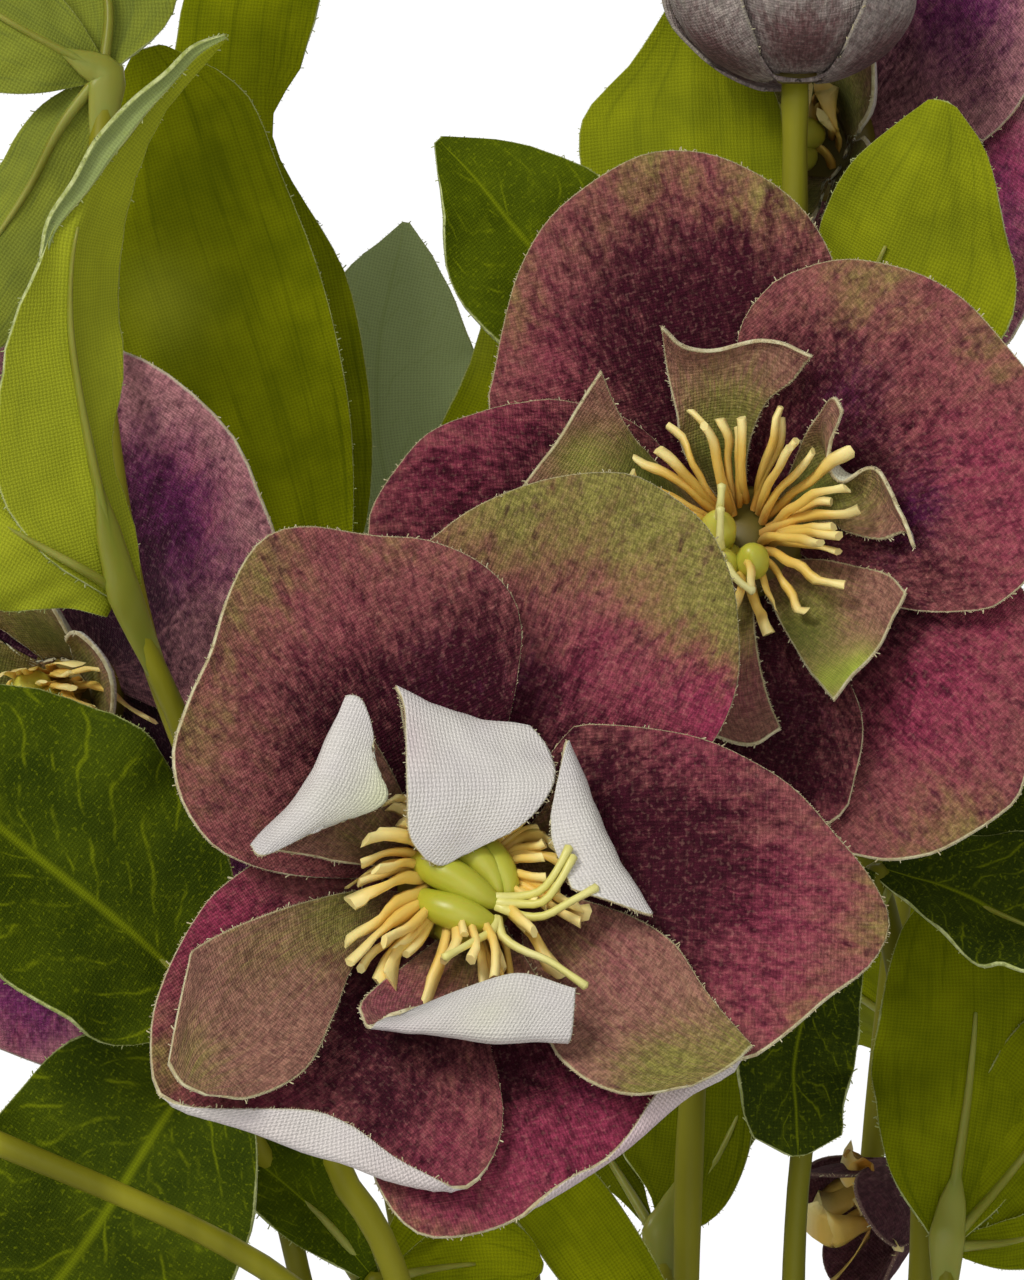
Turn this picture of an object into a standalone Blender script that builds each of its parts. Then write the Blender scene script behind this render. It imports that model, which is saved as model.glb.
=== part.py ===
"""Artificial hellebore plant in its pot: cloth blooms and leaves on moulded stems, set in a weighted fill.

Metres, +Z up. The origin is the centre of the pot's base, and the front of the plant faces -Y.
"""

import math

import bmesh
import bpy
from mathutils import Matrix, Vector

# Pot and filling
POT_HEIGHT = 0.105
POT_RIM_RADIUS = 0.062
POT_BASE_RADIUS = 0.046
POT_WALL = 0.0025
POT_FLOOR = 0.003
POT_LIP_HEIGHT = 0.012
POT_LIP_OUT = 0.003
POT_EDGE = 0.001
POT_SEGMENTS = 40
FILL_EDGE_Z = 0.090
FILL_HEAP = [(0.045, 0.0930), (0.030, 0.0965), (0.015, 0.0977), (0, 0.0980)]
HOLE_FLOOR_Z = 0.060
HOLE_RADIUS = 0.0020
HOLE_DRILL_LENGTH = 0.050

# Clearances and thin stock
GAP = 0.0003
PETAL_CLOTH = 0.0005
LEAF_CLOTH = 0.0006

# Stems and petioles
STEM_RADIUS = 0.0014
PETIOLE_RADIUS = 0.0012
STEM_FREE_Z = 0.106
COLLAR_RADIUS = 0.0032
COLLAR_HALF_LENGTH = 0.005
BLOOM_NECK_LENGTH = 0.012
HUB_RADIUS = 0.0026

# Bloom build
CLAW_RADIUS = 0.0037
SEPAL_LAYER = 0.0017
INNER_HEIGHT = 0.0026
INNER_LEVEL = 0.0014
STAMEN_HUB_BASE = COLLAR_HALF_LENGTH + GAP
STAMEN_HUB_TOP = 0.0066
CARPEL_HUB_RADIUS = 0.0022
CARPEL_HUB_BASE = STAMEN_HUB_TOP + GAP
CARPEL_HUB_TOP = 0.0088

# Stations of a stamen or carpel from its hub: radius, height, width and depth
STAMEN_REACH = [(0.0065, 0.0100, 0.0009, 0.0009), (0.0108, 0.0132, 0.0010, 0.0008)]
BUD_STAMEN_REACH = [(0.0045, 0.0100, 0.0010, 0.0010), (0.0055, 0.0150, 0.0010, 0.0010)]
CARPEL_REACH = [
    (0.0034, 0.0090, 0.0026, 0.0022),
    (0.0036, 0.0125, 0.0014, 0.0014),
    (0.0050, 0.0152, 0.0006, 0.0006),
]

UP = Vector((0, 0, 1))
BACK = Vector((0, 1, 0))

# Each bloom: centre, turn to the right and tilt upwards of the way it faces, in degrees, its stem's place in
# the fill, and the points that the stem passes
BLOOMS = {
    "front_bloom": dict(
        centre=(-0.0257, -0.045, 0.270), turn=12, tilt=18, base=(-0.010, -0.018),
        via=[(-0.016, -0.024, 0.170), (-0.031, -0.031, 0.228), (-0.038, -0.031, 0.243),
             (-0.034, -0.027, 0.259)],
    ),
    "upper_bloom": dict(
        centre=(0.0043, -0.010, 0.3049), turn=-5, tilt=15, base=(0.002, -0.004),
        via=[(-0.001, 0.003, 0.180), (-0.0012, 0.006, 0.240), (0.003, 0.008, 0.285)],
    ),
    "left_bloom": dict(
        centre=(-0.0652, 0.005, 0.2897), turn=-35, tilt=-12, base=(-0.020, 0.004),
        via=[(-0.028, 0.008, 0.190), (-0.042, 0.014, 0.250), (-0.052, 0.019, 0.282)],
    ),
    "back_bloom": dict(
        centre=(0.0162, 0.048, 0.3495), turn=-38, tilt=4, base=(0.008, 0.021),
        via=[(0.016, 0.040, 0.200), (0.026, 0.064, 0.290), (0.029, 0.067, 0.330)],
    ),
    "open_bud": dict(
        centre=(0.0103, 0.015, 0.3544), turn=0, tilt=88, base=(0.012, 0.014),
        via=[(0.021, 0.017, 0.190), (0.024, 0.017, 0.235), (0.021, 0.017, 0.262), (0.0125, 0.016, 0.290),
             (0.0103, 0.015, 0.325)],
    ),
    "side_bud": dict(
        centre=(0.0230, 0.034, 0.2349), turn=-62, tilt=-28, base=(0.021, 0.007),
        via=[(0.029, 0.030, 0.180), (0.038, 0.041, 0.222), (0.037, 0.042, 0.238)],
    ),
}

# Sepals of the two large blooms: azimuth clockwise from the top, length, greatest width, layer counted
# backwards, how pointed the tip is and how far it leans to the right
FRONT_SEPALS = {
    "upper_left": dict(azimuth=-31, length=0.035, width=0.036, layer=0, point=0.50, lean=0.05),
    "upper_right": dict(azimuth=24, length=0.041, width=0.037, layer=2, point=0.50, lean=0.0),
    "right": dict(azimuth=95, length=0.042, width=0.038, layer=0, point=0.72, lean=0.05),
    "bottom": dict(azimuth=165, length=0.038, width=0.042, layer=2, point=0.60, lean=0.0),
    "lower_left": dict(azimuth=235, length=0.036, width=0.040, layer=1, point=0.60, lean=-0.05),
}
UPPER_SEPALS = {
    "top": dict(azimuth=-14, length=0.037, width=0.038, layer=1, point=0.52, lean=0.0),
    "upper_right": dict(azimuth=51, length=0.036, width=0.036, layer=0, point=0.60, lean=0.0),
    "lower_right": dict(azimuth=134, length=0.038, width=0.038, layer=2, point=0.55, lean=0.0),
    "bottom": dict(azimuth=196, length=0.033, width=0.034, layer=1, point=0.60, lean=0.0),
    "left": dict(azimuth=263, length=0.036, width=0.032, layer=0, point=0.70, lean=0.0),
}
FRONT_CUP = dict(base_slope=34, rim_slope=9, reach=0.040)
UPPER_CUP = dict(base_slope=32, rim_slope=8, reach=0.037)

# Inner petals: azimuth, length, width, level counted forwards and the slope in degrees at parts of the length;
# a slope past 90 folds the petal's end over towards the middle
FRONT_INNER = {
    "top": dict(
        azimuth=4, length=0.034, width=0.017, level=0, slopes=[(0, 40), (0.44, 44), (0.58, 168), (1, 186)],
    ),
    "upper_right": dict(
        azimuth=71, length=0.026, width=0.018, level=1, slopes=[(0, 40), (0.56, 44), (0.72, 160), (1, 172)],
    ),
    "right": dict(azimuth=121, length=0.033, width=0.020, level=0, slopes=[(0, 38), (0.5, 22), (1, 8)]),
    "bottom": dict(
        azimuth=175, length=0.026, width=0.019, level=1, slopes=[(0, 40), (0.56, 44), (0.72, 155), (1, 168)],
    ),
    "left": dict(azimuth=235, length=0.032, width=0.019, level=0, slopes=[(0, 38), (0.5, 22), (1, 6)]),
    "upper_left": dict(
        azimuth=-62, length=0.028, width=0.018, level=1, slopes=[(0, 40), (0.55, 44), (0.70, 150), (1, 166)],
    ),
}
UPPER_INNER = {
    "top": dict(azimuth=2, length=0.024, width=0.015, level=0, slopes=[(0, 40), (0.6, 34), (1, 62)]),
    "upper_right": dict(azimuth=64, length=0.022, width=0.014, level=1, slopes=[(0, 40), (0.6, 34), (1, 66)]),
    "lower_right": dict(azimuth=122, length=0.024, width=0.015, level=0, slopes=[(0, 40), (0.6, 30), (1, 50)]),
    "bottom": dict(azimuth=178, length=0.023, width=0.014, level=1, slopes=[(0, 40), (0.6, 34), (1, 60)]),
    "lower_left": dict(azimuth=238, length=0.023, width=0.014, level=0, slopes=[(0, 40), (0.6, 34), (1, 60)]),
    "upper_left": dict(azimuth=297, length=0.023, width=0.014, level=1, slopes=[(0, 40), (0.6, 34), (1, 66)]),
}

# Whorls of the smaller blooms and buds, whose petals are joined at the collar as one lobed bowl: number of
# lobes, length along the cloth, slopes in degrees at the collar and rim, depth of the notches, and height
SEPAL_WHORLS = {
    "left_bloom": dict(lobes=5, reach=0.037, base_slope=38, rim_slope=12, notch=0.30, height=0),
    "back_bloom": dict(lobes=5, reach=0.038, base_slope=36, rim_slope=10, notch=0.30, height=0),
    "open_bud": dict(lobes=5, reach=0.031, base_slope=42, rim_slope=98, notch=0.26, height=0),
    "side_bud": dict(lobes=5, reach=0.025, base_slope=50, rim_slope=84, notch=0.26, height=0),
}
INNER_WHORLS = {
    "left_bloom": dict(lobes=6, reach=0.0185, base_slope=44, rim_slope=34, notch=0.35, height=INNER_HEIGHT),
    "back_bloom": dict(lobes=6, reach=0.0190, base_slope=44, rim_slope=34, notch=0.35, height=INNER_HEIGHT),
}

# Leaves: the hub where the lobes meet, the way the upper face looks, where the petiole starts, the points it
# passes, and for each lobe its tip, width and bow in degrees. A petiole starts in the fill at a base, or on
# the stem or petiole named as its host, at the given height
LEAVES = {
    "leaf_front_left": dict(
        hub=(-0.0583, -0.042, 0.301), face=(-0.55, 0.80, 0.15), base=(-0.024, -0.010),
        via=[(-0.032, -0.016, 0.185), (-0.043, -0.022, 0.235), (-0.049, -0.029, 0.268),
             (-0.053, -0.035, 0.285)],
        lobes=[((-0.0485, -0.050, 0.3548), 0.026, 16), ((-0.0800, -0.050, 0.3160), 0.022, 12)],
    ),
    "leaf_top_left": dict(
        hub=(-0.0624, -0.024, 0.3536), face=(0.1, 0.98, -0.15), host="leaf_front_left", joint_z=0.280,
        via=[(-0.0575, -0.030, 0.296), (-0.0610, -0.029, 0.315), (-0.0625, -0.027, 0.336)],
        lobes=[((-0.0900, -0.030, 0.368), 0.024, 12), ((-0.0673, -0.014, 0.3960), 0.026, 10),
               ((-0.0440, -0.006, 0.3810), 0.024, 12)],
    ),
    "leaf_back_left": dict(
        hub=(-0.0403, 0.010, 0.295), face=(0.1, 0.98, -0.1), host="left_bloom", joint_z=0.262,
        via=[(-0.039, 0.012, 0.276)],
        lobes=[((-0.0560, 0.004, 0.3560), 0.024, 8), ((-0.0390, 0.019, 0.3740), 0.025, 8),
               ((-0.0200, 0.024, 0.3370), 0.022, 10)],
    ),
    "leaf_centre_back": dict(
        hub=(-0.0240, 0.032, 0.290), face=(0.1, -0.98, 0.2), base=(-0.010, 0.016),
        via=[(-0.015, 0.022, 0.190), (-0.021, 0.027, 0.250)],
        lobes=[((-0.0300, 0.035, 0.3420), 0.025, 8), ((-0.0480, 0.047, 0.3180), 0.022, 10),
               ((-0.0050, 0.044, 0.3240), 0.022, 10)],
    ),
    "leaf_upper_back": dict(
        hub=(0.0020, 0.012, 0.3150), face=(0.0, -0.95, 0.3), host="open_bud", joint_z=0.303,
        via=[(0.0050, 0.0130, 0.308)],
        lobes=[((-0.0280, 0.008, 0.3480), 0.022, 8), ((-0.0040, 0.031, 0.3670), 0.022, -10),
               ((0.0290, 0.001, 0.3520), 0.021, 10)],
    ),
    "leaf_right": dict(
        hub=(0.0184, -0.008, 0.272), face=(0.2, -0.88, 0.42), base=(0.009, -0.010),
        via=[(0.0093, -0.009, 0.180), (0.0095, -0.008, 0.232), (0.0125, -0.007, 0.252)],
        lobes=[((0.0450, -0.020, 0.2640), 0.024, 14), ((0.0130, -0.024, 0.2430), 0.022, 16),
               ((0.0500, -0.002, 0.2860), 0.022, 12)],
    ),
    "leaf_right_low": dict(
        hub=(0.0256, 0.000, 0.2323), face=(-0.05, 0.98, 0.1), base=(0.022, -0.007),
        via=[(0.025, -0.004, 0.170)],
        lobes=[((0.0300, 0.006, 0.2740), 0.026, 8), ((0.0530, 0.008, 0.2540), 0.022, 10),
               ((0.0110, 0.004, 0.2500), 0.014, 10)],
    ),
    "leaf_centre_low": dict(
        hub=(-0.0080, 0.013, 0.226), face=(0.0, 0.98, 0.15), base=(-0.006, 0.008),
        via=[(-0.008, 0.010, 0.170)],
        lobes=[((-0.0080, 0.017, 0.2720), 0.022, 8), ((-0.0270, 0.022, 0.2520), 0.018, 10),
               ((0.0020, 0.018, 0.2480), 0.014, 10)],
    ),
    "leaf_left": dict(
        hub=(-0.0500, -0.036, 0.2574), face=(0.12, -0.90, 0.42), host="leaf_front_left", joint_z=0.240,
        via=[(-0.0470, -0.031, 0.246)],
        lobes=[((-0.0880, -0.042, 0.2890), 0.028, 12), ((-0.0840, -0.040, 0.2400), 0.028, 12)],
    ),
    "leaf_front_low": dict(
        hub=(-0.0340, -0.024, 0.2300), face=(0.0, -0.99, 0.1), host="front_bloom", joint_z=0.185,
        via=[(-0.0235, -0.0175, 0.202), (-0.0300, -0.0195, 0.218)],
        lobes=[((-0.0640, -0.034, 0.2230), 0.024, 12), ((-0.0560, -0.038, 0.2010), 0.022, 12)],
    ),
    "leaf_far_left": dict(
        hub=(-0.0920, -0.050, 0.2530), face=(-0.25, -0.35, 0.90), base=(-0.019, -0.020),
        via=[(-0.030, -0.034, 0.185), (-0.046, -0.046, 0.222), (-0.0715, -0.052, 0.243)],
        lobes=[((-0.1240, -0.068, 0.2600), 0.024, 16), ((-0.1260, -0.030, 0.2720), 0.024, 16),
               ((-0.0980, -0.014, 0.2720), 0.022, 14)],
    ),
    "leaf_rear_left": dict(
        hub=(-0.0400, 0.050, 0.2750), face=(-0.25, 0.75, 0.60), base=(-0.017, 0.018),
        via=[(-0.024, 0.028, 0.180), (-0.034, 0.042, 0.240)],
        lobes=[((-0.0820, 0.060, 0.3020), 0.025, 16), ((-0.0520, 0.084, 0.3180), 0.026, 14),
               ((-0.0120, 0.082, 0.2980), 0.024, 16)],
    ),
    "leaf_rear_right": dict(
        hub=(0.0300, 0.058, 0.2480), face=(0.20, 0.78, 0.58), base=(0.019, 0.018),
        via=[(0.022, 0.030, 0.170), (0.026, 0.048, 0.220)],
        lobes=[((0.0700, 0.064, 0.2780), 0.025, 16), ((0.0460, 0.098, 0.2800), 0.026, 14),
               ((-0.0020, 0.090, 0.2620), 0.024, 16)],
    ),
    "leaf_right_side": dict(
        hub=(0.0600, 0.004, 0.2300), face=(0.45, 0.15, 0.88), base=(0.026, 0.000),
        via=[(0.034, 0.001, 0.170), (0.046, 0.003, 0.210)],
        lobes=[((0.1020, -0.012, 0.2480), 0.025, 16), ((0.0920, 0.034, 0.2620), 0.025, 14),
               ((0.0700, -0.038, 0.2380), 0.023, 16)],
    ),
}


def material(name, color, roughness):
    """A Principled material of the part's own colour."""
    made = bpy.data.materials.new(name)
    made.use_nodes = True
    shader = made.node_tree.nodes["Principled BSDF"]
    shader.inputs["Base Color"].default_value = (*color, 1)
    shader.inputs["Roughness"].default_value = roughness
    shader.inputs["Metallic"].default_value = 0
    made.diffuse_color = (*color, 1)
    return made


def add(name, data, finish, parent=None):
    """Puts a mesh or curve in the scene as a named part."""
    made = bpy.data.objects.new(name, data)
    bpy.context.scene.collection.objects.link(made)
    made.data.materials.append(finish)
    made.parent = parent
    return made


def helper(name, data):
    """A shape that only joins or cuts another, so it isn't a part of its own."""
    made = bpy.data.objects.new(name, data)
    bpy.context.scene.collection.objects.link(made)
    made.hide_render = True
    made.display_type = "WIRE"
    return made


def sheet(name, columns, rows, place):
    """A grid mesh whose points place(across, along) sets; across runs from -1 to 1 and along from 0 to 1."""
    bm = bmesh.new()
    bmesh.ops.create_grid(bm, x_segments=columns, y_segments=rows, size=1)
    for vert in bm.verts:
        vert.co = place(vert.co.x, (vert.co.y + 1) / 2)
    mesh = bpy.data.meshes.new(name)
    bm.to_mesh(mesh)
    bm.free()
    mesh.shade_smooth()
    return mesh


def thicken(part, cloth):
    """Gives a single surface the cloth's thickness, half on each side."""
    solidify = part.modifiers.new("Cloth thickness", "SOLIDIFY")
    solidify.thickness = cloth
    solidify.offset = 0


def outline(along, peak, base, point):
    """Half-width of a petal or lobe as a share of its greatest half-width."""
    if along < peak:
        return base + (1 - base) * math.sin(math.pi / 2 * along / peak)
    past = (along - peak) / (1 - peak)
    return max(0.08, (1 - past**2.2) ** point)


def smooth_path(points, per_span):
    """Catmull-Rom points that pass through the given ones."""
    ends = [points[0] * 2 - points[1], *points, points[-1] * 2 - points[-2]]
    path = [points[0]]
    for span in range(1, len(points)):
        a, b, c, d = ends[span - 1 : span + 3]
        for step in range(1, per_span + 1):
            t = step / per_span
            bend = (2 * a - 5 * b + 4 * c - d) * t**2 + (3 * b - a - 3 * c + d) * t**3
            path.append((2 * b + (c - a) * t + bend) / 2)
    return path


def tube(name, path, radii, resolution):
    """A round bar along a path, with a radius for each point and closed ends."""
    curve = bpy.data.curves.new(name, "CURVE")
    curve.dimensions = "3D"
    curve.bevel_depth = 1
    curve.bevel_resolution = resolution
    curve.use_fill_caps = True
    spline = curve.splines.new("POLY")
    spline.points.add(len(path) - 1)
    for point, place, radius in zip(spline.points, path, radii):
        point.co = (*place, 1)
        point.radius = radius
    spline.use_smooth = True
    return curve


def bloom_frame(spec):
    """The bloom's own axes: X to its right, Y to its top and Z the way it faces."""
    turn, tilt = math.radians(spec["turn"]), math.radians(spec["tilt"])
    out = Vector((math.sin(turn) * math.cos(tilt), -math.cos(turn) * math.cos(tilt), math.sin(tilt)))
    top = UP if abs(spec["tilt"]) < 60 else BACK
    top = (top - out * top.dot(out)).normalized()
    frame = Matrix((top.cross(out), top, out)).transposed().to_4x4()
    frame.translation = Vector(spec["centre"])
    return frame


def cup_point(cup, azimuth, along, across, layer):
    """A point of a bowl-shaped petal, in the bloom's axes, with lengths kept as on flat cloth."""
    start, finish = math.radians(cup["base_slope"]), math.radians(cup["rim_slope"])
    out = math.hypot(along + CLAW_RADIUS, across)
    bend = (finish - start) / cup["reach"]
    slope = start + bend * (out - CLAW_RADIUS)
    radius = CLAW_RADIUS + (math.sin(slope) - math.sin(start)) / bend
    height = (math.cos(start) - math.cos(slope)) / bend
    angle = math.radians(azimuth) + math.atan2(across, along + CLAW_RADIUS) * out / radius
    return Vector((radius * math.sin(angle), radius * math.cos(angle), height - layer * SEPAL_LAYER))


def sepal(name, spec, cup, finish, parent):
    """One outer petal, on the bowl that all of the bloom's sepals share."""

    def place(across, share):
        share = 1 - (1 - share) ** 1.3
        half = outline(share, 0.58, 0.14, spec["point"]) * spec["width"] / 2
        lean = spec["lean"] * spec["width"] * share**2
        return cup_point(cup, spec["azimuth"], share * spec["length"], across * half + lean, spec["layer"])

    part = add(name, sheet(name, 5, 6, place), finish, parent)
    thicken(part, PETAL_CLOTH)
    return part


def slope_at(slopes, share):
    """Slope in radians between the given stations."""
    for (t0, s0), (t1, s1) in zip(slopes, slopes[1:]):
        if share <= t1:
            return math.radians(s0 + (s1 - s0) * (share - t0) / (t1 - t0))
    return math.radians(slopes[-1][1])


def inner_petal(name, spec, finish, parent):
    """One inner petal, a blade that rises from the collar and may fold over."""
    steps = 48
    spine = [Vector((CLAW_RADIUS, INNER_HEIGHT + spec["level"] * INNER_LEVEL))]
    for step in range(steps):
        slope = slope_at(spec["slopes"], (step + 0.5) / steps)
        spine.append(spine[-1] + Vector((math.cos(slope), math.sin(slope))) * spec["length"] / steps)
    azimuth = math.radians(spec["azimuth"])
    outwards = Vector((math.sin(azimuth), math.cos(azimuth), 0))
    sideways = Vector((math.cos(azimuth), -math.sin(azimuth), 0))

    def place(across, share):
        radius, height = spine[round(share * steps)]
        half = outline(share, 0.55, 0.13, 0.55) * spec["width"] / 2
        return outwards * radius + sideways * across * half + Vector((0, 0, height))

    part = add(name, sheet(name, 2, 8, place), finish, parent)
    thicken(part, PETAL_CLOTH)
    return part


def whorl(name, spec, finish, parent):
    """A ring of petals joined at the collar, as one lobed bowl."""
    lobes, reach = spec["lobes"], spec["reach"]
    columns, rows = lobes * 4, 3
    start, end = math.radians(spec["base_slope"]), math.radians(spec["rim_slope"])
    bend = (end - start) / reach
    bm = bmesh.new()
    rings = []
    for row in range(rows + 1):
        ring = []
        for column in range(columns):
            angle = 2 * math.pi * column / columns
            notch = 1 - spec["notch"] * abs(math.cos(lobes * angle / 2)) ** 1.5
            slope = start + bend * reach * notch * row / rows
            radius = CLAW_RADIUS + (math.sin(slope) - math.sin(start)) / bend
            rise = (math.cos(start) - math.cos(slope)) / bend + spec["height"]
            ring.append(bm.verts.new((radius * math.sin(angle), radius * math.cos(angle), rise)))
        rings.append(ring)
    for low, high in zip(rings, rings[1:]):
        for k in range(columns):
            bm.faces.new((low[k], high[k], high[(k + 1) % columns], low[(k + 1) % columns]))
    mesh = bpy.data.meshes.new(name)
    bm.to_mesh(mesh)
    bm.free()
    mesh.shade_smooth()
    part = add(name, mesh, finish, parent)
    thicken(part, PETAL_CLOTH)
    return part


def grow(bm, face, stations):
    """Extrudes a side face of a hub into a finger; a station is radius, height, width and depth."""
    middle = face.calc_center_median()
    outwards = Vector((middle.x, middle.y, 0)).normalized()
    sideways = UP.cross(outwards)
    last = Vector((middle.x, middle.y, 0)).length, middle.z
    for radius, height, width, depth in stations:
        heading = (outwards * (radius - last[0]) + UP * (height - last[1])).normalized()
        upright = heading.cross(sideways)
        centre = face.calc_center_median()
        signs = {v: ((v.co - centre).dot(sideways) > 0, (v.co - centre).dot(upright) > 0) for v in face.verts}
        made = bmesh.ops.extrude_discrete_faces(bm, faces=[face])["faces"][0]
        target = outwards * radius + UP * height
        for vert in made.verts:
            nearest = min(signs, key=lambda old: (old.co - vert.co).length)
            side, top = signs[nearest]
            vert.co = target + sideways * width * (side - 0.5) + upright * depth * (top - 0.5)
        face = made
        last = radius, height


def fingered_hub(name, sides, radius, base, top, stations, finish, parent):
    """A short prism with a finger grown from each side: a ring of stamens or of carpels."""
    bm = bmesh.new()
    bmesh.ops.create_cone(
        bm, cap_ends=True, segments=sides, radius1=radius, radius2=radius, depth=top - base,
        matrix=Matrix.Translation((0, 0, (top + base) / 2)),
    )
    for face in [face for face in bm.faces if abs(face.normal.z) < 0.5]:
        grow(bm, face, stations)
    bmesh.ops.recalc_face_normals(bm, faces=bm.faces)
    mesh = bpy.data.meshes.new(name)
    bm.to_mesh(mesh)
    bm.free()
    mesh.shade_smooth()
    mesh.set_sharp_from_angle(angle=math.radians(40))
    return add(name, mesh, finish, parent)


def lobe_mesh(name, hub, tip, width, bow, face):
    """A leaf lobe on an arc from the hub to its tip, folded a little along its midrib."""
    chord = tip - hub
    ahead = chord.normalized()
    out = (face - ahead * face.dot(ahead)).normalized()
    sideways = ahead.cross(out)
    arc = math.radians(bow)
    radius = chord.length / (2 * math.sin(arc))
    fold = math.radians(12)

    def place(across, share):
        turn = arc * (1 - 2 * share)
        along, rise = math.sin(arc) - math.sin(turn), math.cos(turn) - math.cos(arc)
        spine = hub + (ahead * along + out * rise) * radius
        normal = out * math.cos(turn) - ahead * math.sin(turn)
        half = outline(share, 0.48, 0.13, 0.75) * width / 2 * across
        return spine + sideways * half * math.cos(fold) + normal * abs(half) * math.sin(fold)

    return sheet(name, 2, 6, place)


def leaf(name, spec, path, finish):
    """A petiole and its lobes, moulded to one hub."""
    hub, face = Vector(spec["hub"]), Vector(spec["face"]).normalized()
    radii = [PETIOLE_RADIUS] * len(path)
    rod = bpy.data.objects.new(name, tube(name, path, radii, 1))
    bpy.context.scene.collection.objects.link(rod)
    bpy.context.view_layer.update()
    mesh = bpy.data.meshes.new_from_object(rod.evaluated_get(bpy.context.evaluated_depsgraph_get()))
    bpy.data.objects.remove(rod)
    part = add(name, mesh, finish)
    bm = bmesh.new()
    bmesh.ops.create_icosphere(bm, subdivisions=1, radius=HUB_RADIUS, matrix=Matrix.Translation(hub))
    ball = bpy.data.meshes.new(name + "_hub")
    bm.to_mesh(ball)
    bm.free()
    joined = [helper(ball.name, ball)]
    for number, (tip, width, bow) in enumerate(spec["lobes"], 1):
        root = hub + (Vector(tip) - hub).normalized() * HUB_RADIUS * 0.5 + face * (number - 2) * GAP
        lobe_name = f"{name}_lobe_{number}"
        lobe = helper(lobe_name, lobe_mesh(lobe_name, root, Vector(tip), width, bow, face))
        thicken(lobe, LEAF_CLOTH)
        joined.append(lobe)
    for operand in joined:
        union = part.modifiers.new("Join " + operand.name, "BOOLEAN")
        union.operation = "UNION"
        union.object = operand
    return part


def flower_stem(name, spec, frame, finish):
    """A stem that stands in the fill and ends in the collar that carries the petals."""
    out = frame.to_3x3() @ UP
    centre = frame.translation
    foot = [Vector((*spec["base"], z)) for z in (HOLE_FLOOR_Z + GAP, STEM_FREE_Z)]
    shoulder = centre - out * COLLAR_HALF_LENGTH
    neck = [centre - out * BLOOM_NECK_LENGTH, shoulder - out * 4 * GAP]
    way = smooth_path([foot[1], *map(Vector, spec["via"]), *neck], 2)
    path = [foot[0], *way, shoulder, centre + out * COLLAR_HALF_LENGTH]
    radii = [STEM_RADIUS] * (len(path) - 2) + [COLLAR_RADIUS] * 2
    add(name, tube(name, path, radii, 2), finish)
    return path


def petiole_path(spec, paths):
    """The petiole's way from the fill, or from the side of its host, up to the hub."""
    hub = Vector(spec["hub"])
    if "base" in spec:
        foot = [Vector((*spec["base"], z)) for z in (HOLE_FLOOR_Z + GAP, STEM_FREE_Z)]
        return [foot[0], *smooth_path([foot[1], *map(Vector, spec["via"]), hub], 2)]
    host = paths[spec["host"]]
    low, high = next((a, b) for a, b in zip(host, host[1:]) if a.z <= spec["joint_z"] <= b.z)
    joint = low.lerp(high, (spec["joint_z"] - low.z) / (high.z - low.z))
    away = Vector(spec["via"][0]) - joint
    away = (away - (high - low) * away.dot(high - low) / (high - low).length_squared).normalized()
    start = joint + away * (STEM_RADIUS + 2 * GAP)
    return [start, *smooth_path([start + away * 0.0015, *map(Vector, spec["via"]), hub], 2)]


def turned(name, profile):
    """A closed turned solid from a profile of radius and height, first and last point on the axis."""
    bm = bmesh.new()
    verts = [bm.verts.new((radius, 0, height)) for radius, height in profile]
    edges = [bm.edges.new(pair) for pair in zip(verts, verts[1:])]
    bmesh.ops.spin(
        bm, geom=verts + edges, cent=(0, 0, 0), axis=(0, 0, 1), angle=2 * math.pi, steps=POT_SEGMENTS,
        use_merge=True,
    )
    bmesh.ops.remove_doubles(bm, verts=bm.verts, dist=1e-6)
    bmesh.ops.recalc_face_normals(bm, faces=bm.faces)
    mesh = bpy.data.meshes.new(name)
    bm.to_mesh(mesh)
    bm.free()
    mesh.shade_smooth()
    mesh.set_sharp_from_angle(angle=math.radians(35))
    return mesh


def pot_radius(height):
    """Outer radius of the tapered wall."""
    return POT_BASE_RADIUS + (POT_RIM_RADIUS - POT_LIP_OUT - POT_BASE_RADIUS) * height / POT_HEIGHT


def pot(finish):
    """A plain tapered pot with a turned-out lip."""
    lip_z = POT_HEIGHT - POT_LIP_HEIGHT
    profile = [
        (0, 0),
        (POT_BASE_RADIUS - POT_EDGE, 0),
        (POT_BASE_RADIUS, POT_EDGE),
        (pot_radius(lip_z), lip_z),
        (POT_RIM_RADIUS, lip_z + POT_EDGE),
        (POT_RIM_RADIUS, POT_HEIGHT - POT_EDGE),
        (POT_RIM_RADIUS - POT_EDGE, POT_HEIGHT),
        (pot_radius(POT_HEIGHT) - POT_WALL, POT_HEIGHT),
        (pot_radius(POT_FLOOR) - POT_WALL, POT_FLOOR),
        (0, POT_FLOOR),
    ]
    return add("pot", turned("pot", profile), finish)


def pot_fill(feet, finish):
    """The weighted fill, heaped a little in the middle, with a blind hole for each stem."""
    low, high = POT_FLOOR + GAP, FILL_EDGE_Z
    profile = [
        (0, low),
        (pot_radius(low) - POT_WALL - GAP, low),
        (pot_radius(high) - POT_WALL - GAP, high),
        *FILL_HEAP,
    ]
    part = add("pot_fill", turned("pot_fill", profile), finish)
    bm = bmesh.new()
    for place in feet:
        bmesh.ops.create_cone(
            bm, cap_ends=True, segments=8, radius1=HOLE_RADIUS, radius2=HOLE_RADIUS, depth=HOLE_DRILL_LENGTH,
            matrix=Matrix.Translation((*place, HOLE_FLOOR_Z + HOLE_DRILL_LENGTH / 2)),
        )
    drill_mesh = bpy.data.meshes.new("stem_holes")
    bm.to_mesh(drill_mesh)
    bm.free()
    cut = part.modifiers.new("Stem holes", "BOOLEAN")
    cut.operation = "DIFFERENCE"
    cut.object = helper("stem_holes", drill_mesh)
    return part


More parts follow.
